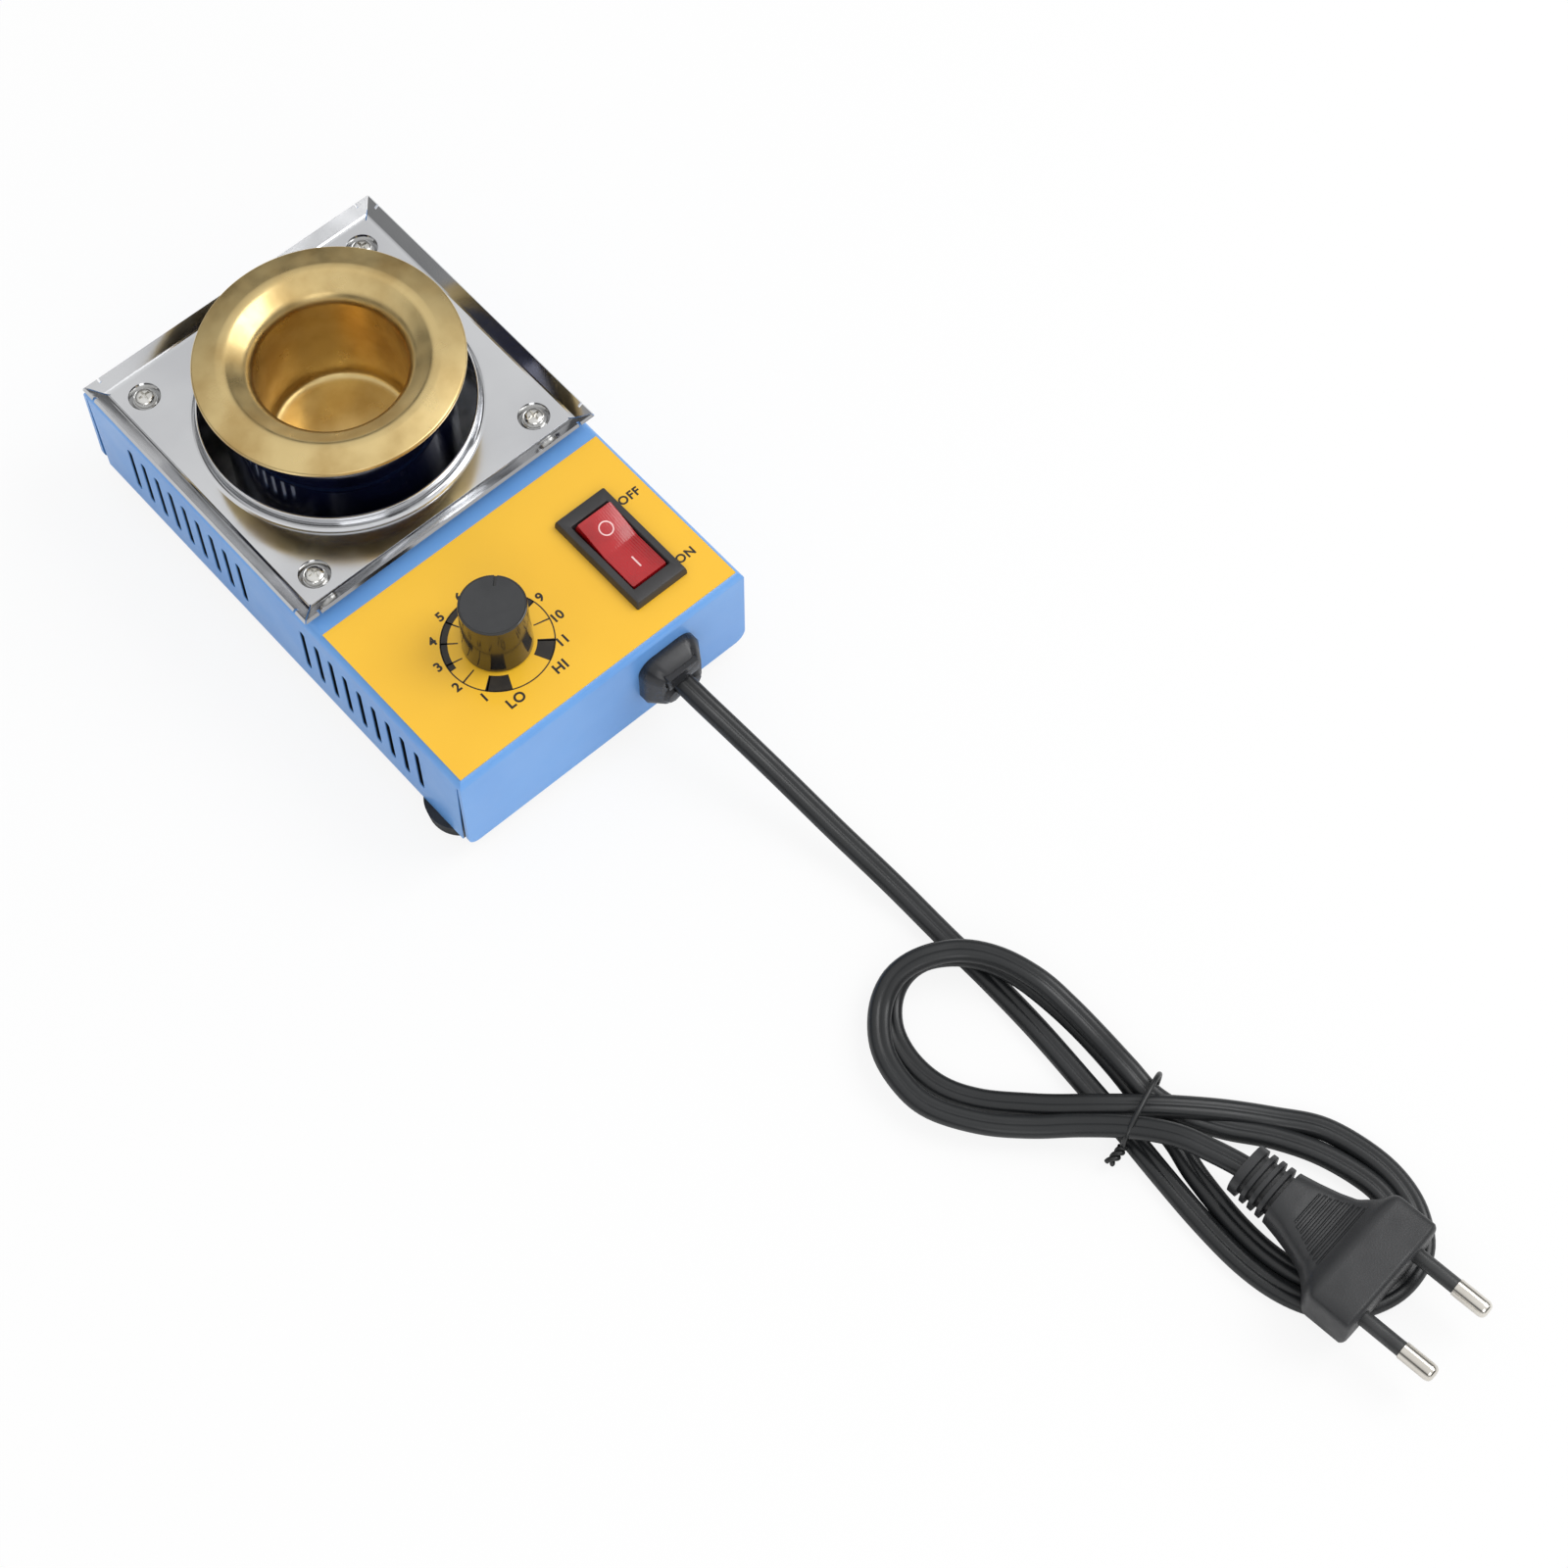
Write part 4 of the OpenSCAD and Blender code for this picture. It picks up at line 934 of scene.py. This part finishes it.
@dataclass
class Lead:
    """The flat twin lead: down to the bench, tied in a figure of eight, up to the plug."""

    width: float = 5.2
    thickness: float = 3.4
    exit: Point = (17.0, -74.5, 18.75)
    step: float = 1.3
    plug_centre: Point = (35.8, -271.4, 9.9)
    plug_turn: float = 6.0
    route: tuple = (
        (17, -61, 18.8), (17, -66, 18.8), (17, -73, 18.7), (17.6, -80, 17.2),
        (19, -90, 14), (20.5, -102, 10.4), (22, -118, 6.6), (23.4, -135, 3.8),
        (24, -151, 2.1), (24.3, -165, 1.8), (24, -180, 1.8), (23, -195, 1.8),
        (22, -208, 1.8), (20.6, -222, 1.8), (19.6, -235, 1.8), (19.6, -247, 1.8),
        (21.4, -256.6, 1.8), (25.3, -264.2, 1.8), (31.4, -269.4, 1.8), (40, -271.8, 1.8),
        (48.8, -269.8, 1.8), (54.2, -263.6, 1.8), (56.6, -256, 1.8), (56.4, -247.2, 1.8),
        (53.4, -236.8, 1.8), (47.2, -228.4, 2), (40.2, -220.6, 3.2), (32.8, -213.6, 4.6),
        (27, -208.4, 5.2), (20.4, -202.4, 5.1), (14.6, -196.8, 4), (10.2, -192, 3),
        (3.6, -184.2, 1.9), (-0.5, -176.6, 1.8), (-1.5, -168.4, 1.8), (0.3, -160.8, 1.9),
        (4.4, -155.4, 2.4), (9.6, -152.8, 3.8), (15.2, -153.2, 5.1), (20.8, -156.4, 5.2),
        (25, -161.2, 5.2), (27.8, -167.4, 5.2), (29.4, -175, 5), (30.4, -186, 4),
        (30.3, -198.4, 2.6), (29, -210, 1.8), (28, -218.4, 1.8), (26, -226.8, 1.8),
        (24.6, -239.6, 1.8), (25.1, -250.2, 1.8), (27.8, -258.8, 1.8), (33.6, -265, 1.8),
        (41, -266.6, 1.8), (47.6, -264.2, 1.8), (51.2, -259.2, 1.8), (52, -252, 1.8),
        (49.2, -241, 1.8), (44.2, -231.4, 1.8), (38, -223.2, 2), (33.6, -215.8, 2.6),
        (31, -208.2, 3.8), (30.9, -200.4, 5.2), (31.2, -191, 5.6), (30.9, -182.2, 6.8),
        (29.8, -174, 8.4), (27, -165, 8.6), (21.9, -158, 8.6), (14.4, -153.8, 8.5),
        (7.4, -152.8, 7), (0.9, -155.8, 5.3), (-4.8, -162.7, 5.1), (-7, -171.2, 5.1),
        (-6.2, -179.4, 5.1), (-0.7, -188.8, 5), (6.4, -196.4, 5.1), (14, -203.4, 6.4),
        (20.8, -210.8, 8.2), (26.3, -218.8, 9.6), (29.4, -226.3, 9.9), (31.8, -233.6, 9.9),
        (32.3, -238, 9.9),
    )

    def outline(self, count: int = 32) -> Array:
        """Section of two touching round cores.

        At angle t the radius is c cos t + sqrt(r^2 - c^2 sin^2 t) from the middle, for
        cores of radius r whose centres stand c to each side.
        """
        r = self.thickness / 2
        c = (self.width - self.thickness) / 2
        t = np.linspace(0, FULL_TURN, count, endpoint=False)
        reach = c * abs(np.cos(t)) + np.sqrt(r**2 - (c * np.sin(t)) ** 2)
        return np.stack([reach * np.cos(t), reach * np.sin(t)], -1)

    def build(self, plug: "Plug", relief: "StrainRelief") -> None:
        maker = Maker(Body.BASE)
        line = catmull_rom(np.array(self.route, float), self.step)
        grid = capped(swept(self.outline(), line))
        stands_for = ("cord_lead", "cord_hank", "cord_tail")
        cord = maker.surface("lead", grid, CORD_BLACK, stands_for, sharp=60)
        tie = self.tie(maker)

    def tie(self, maker: Maker) -> bpy.types.Object:
        """A coated wire tie round both strands, its ends twisted together.

        The loop is a round wire along an upright oval; the tail is two wires that wind
        about a common line, which lies out to the side.
        """
        wire_r = 0.6
        centre = np.array([26.2, -209.4, 5.65])
        across = np.array([0.94, 0.342, 0.0])
        side = np.cross(across, [0, 0, 1.0])
        oval = superellipse(72, 2.6) * np.array([8.8, 4.95])
        ring = centre + across * oval[:, :1] + np.array([0, 0, 1.0]) * oval[:, 1:]
        out_dir = (ring - centre) / np.linalg.norm(ring - centre, axis=1, keepdims=True)
        section = superellipse(12) * wire_r
        band = (
            ring[:, None, :]
            + side * section[None, :, :1]
            + out_dir[:, None, :] * section[None, :, 1:]
        )
        s = np.linspace(0, 1, 60)
        start = centre - across * 8.6 + np.array([0, 0, -1.4])
        line = start + np.outer(s * 3.4, -across) + np.outer(s**2 * 1.6, [-0.6, 0.5, -0.9])
        tails = []
        for phase in (0.0, math.pi):
            turn = s * 3.0 * FULL_TURN / 2 + phase
            wire = line + wire_r * (
                np.outer(np.cos(turn), side) + np.outer(np.sin(turn), [0, 0, 1.0])
            )
            tails.append(capped(swept(superellipse(10) * (wire_r - 0.02), wire)))
        band = np.concatenate([band, band[:1]])
        return maker.surface("wire_tie", [band, *tails], TIE_BLACK, ("cord_tie",), sharp=60)


@dataclass
class Plug:
    """The flat two-pin plug: block, waisted grip with fine lines, ribbed bend relief."""

    lead: Lead
    length: float = 38.0
    ribs_from: float = 28.4
    rib_pitch: float = 2.2
    rib_count: int = 4
    groove_w: float = 0.95
    core_half: tuple[float, float] = (4.7, 3.9)
    grip: tuple[float, float] = (13.2, 22.5)
    line_pitch: float = 1.1
    line_depth: float = 0.35
    made: list = field(default_factory=list)

    def half_sizes(self, y: Array) -> tuple[Array, Array, Array]:
        """Half width, half height and squareness of the section at distances from the face."""
        at = [0, 0.25, 0.9, 10.0, 11.2, 13.0, 16.0, 19.5, 24.0, 28.0, 38.0]
        wide = [14.2, 14.65, 15.0, 15.0, 14.5, 12.2, 9.6, 8.3, 7.0, 6.2, 5.7]
        high = [5.6, 6.0, 6.3, 6.3, 6.0, 4.9, 4.4, 4.5, 5.1, 5.3, 5.0]
        square = [7.0, 7.5, 9.0, 9.0, 7.5, 5.0, 4.0, 3.6, 3.2, 2.8, 2.6]
        return tuple(np.interp(y, at, v) for v in (wide, high, square))

    def section(self) -> Array:
        """Sections along the plug as a grid, in the plug's own frame."""
        y = np.linspace(0, self.length, 191)
        wide, high, square = self.half_sizes(y)
        smooth = np.ones(7) / 7
        inner = slice(8, -8)
        for values in (wide, high):
            values[inner] = np.convolve(values, smooth, "same")[inner]
        into = (y - self.ribs_from) % self.rib_pitch
        grooved = (
            (y > self.ribs_from)
            & (y < self.ribs_from + self.rib_count * self.rib_pitch)
            & (into < self.groove_w)
        )
        wide = np.where(grooved, self.core_half[0], wide)
        high = np.where(grooved, self.core_half[1], high)
        t = np.linspace(0, FULL_TURN, 96, endpoint=False)
        c, s = np.cos(t), np.sin(t)
        x = wide[:, None] * np.sign(c) * abs(c) ** (2 / square[:, None])
        z = high[:, None] * np.sign(s) * abs(s) ** (2 / square[:, None])
        lines = 0.5 + 0.5 * np.sign(np.sin(y * FULL_TURN / self.line_pitch))
        grip = (
            (abs(x) < np.interp(y, [12.5, 22.5], [8.5, 4.0])[:, None])
            & (y > self.grip[0])[:, None]
            & (y < self.grip[1])[:, None]
        )
        z = z - np.sign(z) * self.line_depth * lines[:, None] * grip
        return np.stack([x, np.broadcast_to(y[:, None], x.shape), z], -1)

    def placed(self, grid: Array) -> Array:
        """A grid in the plug's frame, moved to where the plug lies."""
        a = math.radians(self.lead.plug_turn)
        turn = np.array([[math.cos(a), -math.sin(a), 0], [math.sin(a), math.cos(a), 0], [0, 0, 1]])
        return grid @ turn.T + np.array(self.lead.plug_centre)

    def build(self) -> None:
        """Makes the moulded body."""
        maker = Maker(Body.BASE)
        grid = self.placed(capped(self.section()))
        body = maker.surface("plug_moulding", grid, PLUG_BLACK, ("plug_body",), sharp=42)
        self.made.append(body)

    def pieces(self) -> list:
        """The moulding with its sleeves and pins."""
        return [*self.made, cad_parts["plug_sleeves"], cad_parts["plug_pins"]]


@dataclass
class StrainRelief:
    """The snap-in bushing and its wedge where the lead leaves the wall."""

    ease: float = 0.55
    made: list = field(default_factory=list)

    def build(self) -> None:
        """Makes both with eased moulded edges."""
        maker = Maker(Body.BASE)
        for node in ("strain_relief", "relief_wedge"):
            self.made.append(maker.recast(node, RELIEF_BLACK, bevel=self.ease, sharp=50))

    def pieces(self) -> list:
        """The bushing and the wedge."""
        return self.made


@dataclass
class Crucible:
    """The turned crucible: sloped outer band, crest, cove, step and deep cup."""

    axis_y: float = 24.5
    crest_z: float = 54.6
    seat_z: float = 51.2
    flange_r: float = 30.3
    flange_rise: float = 0.9
    can_r: float = 26.3
    cup_r: float = 17.1
    cup_floor_z: float = 23.0
    bottom_z: float = 19.6
    outer_r: float = 20.0
    spigot_r: float = 2.5

    def profile(self) -> Array:
        """Half section from the axis below, round the outside, to the axis in the cup."""
        top = self.crest_z
        return rounded_profile(
            [
                (0.0, 6.6, 0), (self.spigot_r, 6.6, 0.3), (self.spigot_r, self.bottom_z, 0),
                (self.outer_r, self.bottom_z, 1.5), (self.outer_r, self.seat_z, 0.2),
                (self.can_r + 0.5, self.seat_z, 0.3),
                (self.flange_r, self.seat_z + self.flange_rise, 0.5),
                (self.flange_r, top - 1.3, 0.45), (24.6, top - 0.05, 0.5), (23.0, top, 1.5),
                (20.4, top - 1.5, 1.6), (18.4, top - 2.5, 1.0), (self.cup_r, top - 4.4, 1.5),
                (self.cup_r, self.cup_floor_z, 2.6), (0.0, self.cup_floor_z, 0),
            ],
            steps=9,
        )

    def build(self) -> None:
        """Makes the crucible in place of its solid."""
        maker = Maker(Body.BASE)
        grid = revolve(self.profile(), (0, self.axis_y, 0), 192)
        maker.surface("crucible_turned", grid, GOLD, ("crucible",), sharp=38)


@dataclass
class Switch:
    """The rocker switch: bezel with a sunk well, and a red rocker with its two marks."""

    x: float = 23.6
    y: float = -45.2
    label_z: float = 32.75
    bezel_h: float = 2.2
    pivot_z: float = 32.15
    rocker_half_w: float = 4.7
    rocker_r: float = 10.2
    tilt: float = 8.0
    slope: float = 8.0

    def case(self, maker: Maker) -> None:
        """Bezel and body as one closed surface of stacked round rectangles."""
        top = self.label_z + self.bezel_h
        levels = [
            (0.01, 0.01, 0.005, 27.0), (5.05, 10.55, 0.25, 27.0), (5.05, 10.55, 0.25, top - 0.5),
            (5.2, 10.7, 0.3, top - 0.1), (5.35, 10.9, 0.3, top), (6.5, 13.55, 0.35, top),
            (6.75, 13.8, 0.4, top - 0.1), (7.0, 14.05, 0.4, top - 0.6),
            (7.15, 14.2, 0.4, top - 1.3), (7.2, 14.25, 0.4, self.label_z),
            (6.2, 12.8, 0.3, self.label_z), (6.2, 12.8, 0.3, 18.8), (0.01, 0.01, 0.005, 18.8),
        ]
        rows = [
            np.column_stack([rounded_rectangle(w, l, c), np.full(32, z)]) for w, l, c, z in levels
        ]
        grid = np.array(rows) + np.array([self.x, self.y, 0])
        maker.surface("switch_case", grid, SWITCH_BLACK, ("switch_body",), sharp=30)

    def tilted(self, grid: Array) -> Array:
        """Points in the rocker's own frame, tilted to ON about the pivot."""
        a = math.radians(self.tilt)
        turn = np.array([[1, 0, 0], [0, math.cos(a), -math.sin(a)], [0, math.sin(a), math.cos(a)]])
        return grid @ turn.T + np.array([self.x, self.y, self.pivot_z])

    def rocker(self, maker: Maker) -> None:
        """The rocker: a V-topped section between round ends, with eased sides, and pins."""
        end_h, low = 3.9, -3.2
        rise = self.rocker_r * math.tan(math.radians(self.slope))
        y = np.linspace(-9.35, 9.35, 41)
        top_line = np.column_stack([y, end_h - rise + abs(y) * math.tan(math.radians(self.slope))])
        a = np.linspace(*(math.asin(h / self.rocker_r) for h in (top_line[-1, 1], low)), 12)
        right = self.rocker_r * np.column_stack([np.cos(a), np.sin(a)])
        left = right[::-1] * np.array([-1, 1])
        outline = np.concatenate([top_line[1:-1], right, left])
        middle = np.array([0.0, 0.2])
        rows = []
        for x, inset in (
            (-1.0, 0.35), (-0.985, 0.12), (-0.94, 0.0), (0.94, 0.0), (0.985, 0.12), (1.0, 0.35)
        ):
            away = outline - middle
            ring = outline - away / np.linalg.norm(away, axis=1, keepdims=True) * inset
            rows.append(np.column_stack([np.full(len(ring), x * self.rocker_half_w), ring]))
        body = capped(np.array(rows))
        ring = superellipse(24) * 1.2
        ends = (self.rocker_half_w - 0.3, self.rocker_half_w + 0.8)
        pins = [
            capped(np.array([np.column_stack([np.full(24, s * x), ring]) for x in ends]))
            for s in (-1, 1)
        ]
        grids = [self.tilted(g) for g in (body, *pins)]
        maker.surface("rocker_moulding", grids, ROCKER_RED, ("rocker",), sharp=32)
        self.marks(maker, end_h - rise)

    def marks(self, maker: Maker, ridge: float) -> None:
        """The ring and the bar, flat bands laid on each half of the face."""
        slope = math.tan(math.radians(self.slope))

        def on_face(points: Array, lift: float) -> Array:
            """Points of the face above (x, y)."""
            return np.column_stack(
                [points, ridge + abs(points[:, 1]) * slope + np.full(len(points), lift)]
            )

        ring = [
            on_face(superellipse(48) * r + np.array([0, 5.2]), lift)
            for r, lift in ((1.45, -0.05), (1.45, 0.04), (1.75, 0.04), (1.75, -0.05))
        ]
        maker.surface("mark_off", self.tilted(np.array(ring)), WHITE_MARK, wrap_rows=True)
        bar = superellipse(24, 6.0) * np.array([0.2, 1.6]) + np.array([0, -5.0])
        rows = [on_face(bar, -0.05), on_face(bar, 0.04)]
        maker.surface("mark_on", self.tilted(capped(np.array(rows))), WHITE_MARK)

    def build(self) -> None:
        """Makes the case and the rocker."""
        self.case(Maker(Body.BASE))
        self.rocker(Maker(Body.ROCKER))


@dataclass
class Print:
    """The dial and the switch's words, printed on the label."""

    label_z: float = 32.75
    thickness: float = 0.03
    centre: tuple[float, float] = (-11.3, -45.2)
    ring_r: float = 12.45
    band_r: float = 10.9
    tick_r: float = 8.6
    tick_half_deg: float = math.degrees(0.17 / 10.5)
    number_r: float = 13.9
    step: float = 26.0
    first: float = 246.0
    lean: float = 3.0

    def band(self, r0: float, r1: float, a0: float, a1: float) -> Array:
        """A flat ring sector as a closed section carried along an arc."""
        count = max(int(abs(a1 - a0) / 3), 2)
        a = np.radians(np.linspace(a0, a1, count))[:, None]
        r = np.array([r0, r1, r1, r0])
        z = self.label_z + np.array([-0.01, -0.01, self.thickness, self.thickness])
        x, y = self.centre[0] + r * np.cos(a), self.centre[1] + r * np.sin(a)
        return np.stack([x, y, np.broadcast_to(z, (count, 4))], -1)

    def words(
        self, text: str, place: tuple[float, float], height: float, bold: float
    ) -> None:
        """Letters in the built-in face, made a mesh and laid on the label."""
        curve = bpy.data.curves.new("word", "FONT")
        curve.body = text
        curve.align_x = "CENTER"
        curve.align_y = "CENTER"
        curve.size = height / 0.7 * MM
        curve.offset = bold * MM
        curve.space_character = 1.0 if text.isdigit() else 1.12
        curve.extrude = self.thickness / 2 * MM
        curve.resolution_u = 4
        shaped = in_scene("word", curve)
        bpy.context.view_layer.update()
        shown = shaped.evaluated_get(bpy.context.evaluated_depsgraph_get())
        mesh = bpy.data.meshes.new_from_object(shown)
        bpy.data.objects.remove(shaped)
        middle = Vector((*place, self.label_z + self.thickness / 2)) * MM
        mesh.transform(Matrix.Translation(middle))
        name = "print_" + "".join(c for c in text.lower() if c.isalnum())
        mesh.name = name
        thing = in_scene(name, mesh)
        Maker(Body.BASE).keep(thing, INK, ())

    def build(self) -> None:
        """Makes the rings, ticks, sectors, numbers and words."""
        maker = Maker(Body.BASE)
        labels = ["LO", *map(str, range(1, 12)), "HI"]
        bands = [
            self.band(self.ring_r - 0.15, self.ring_r + 0.15, 0, 360),
            self.band(self.band_r, self.ring_r, 12, 176),
            self.band(self.tick_r, self.ring_r, 218, 246),
            self.band(self.tick_r, self.ring_r, -64, -38),
        ]
        for k in range(1, 12):
            angle = self.first - self.step * k
            half = self.tick_half_deg
            bands.append(self.band(self.tick_r, self.ring_r, angle - half, angle + half))
        maker.surface("dial_print", [capped(b) for b in bands], INK, sharp=30)
        for k, text in enumerate(labels):
            swing = self.lean * math.sin(math.pi * k / 12)
            angle = math.radians(self.first - self.step * k - swing)
            reach = self.number_r + (1.3 if text in ("LO", "HI") else 0.2)
            x = self.centre[0] + reach * math.cos(angle)
            place = (x, self.centre[1] + reach * math.sin(angle))
            self.words(text, place, 2.35 if text in ("LO", "HI") else 2.2, bold=0.1)
        self.words("OFF", (33.9, -35.9), 2.1, bold=0.09)
        self.words("ON", (33.3, -55.7), 2.1, bold=0.09)


def main() -> None:
    """Builds the studio, the plug, the strain relief, the lead and the rest, then dresses the CAD
    nodes.
    """
    logging.basicConfig(level=logging.INFO, format="%(name)s: %(message)s")
    Studio().build()
    lead = Lead()
    plug = Plug(lead)
    plug.build()
    relief = StrainRelief()
    relief.build()
    lead.build(plug, relief)
    Crucible().build()
    Switch().build()
    Print().build()
    for finish, nodes in NODE_FINISHES.items():
        for node in nodes.split():
            dress(node, finish)


if __name__ == "__main__":
    main()
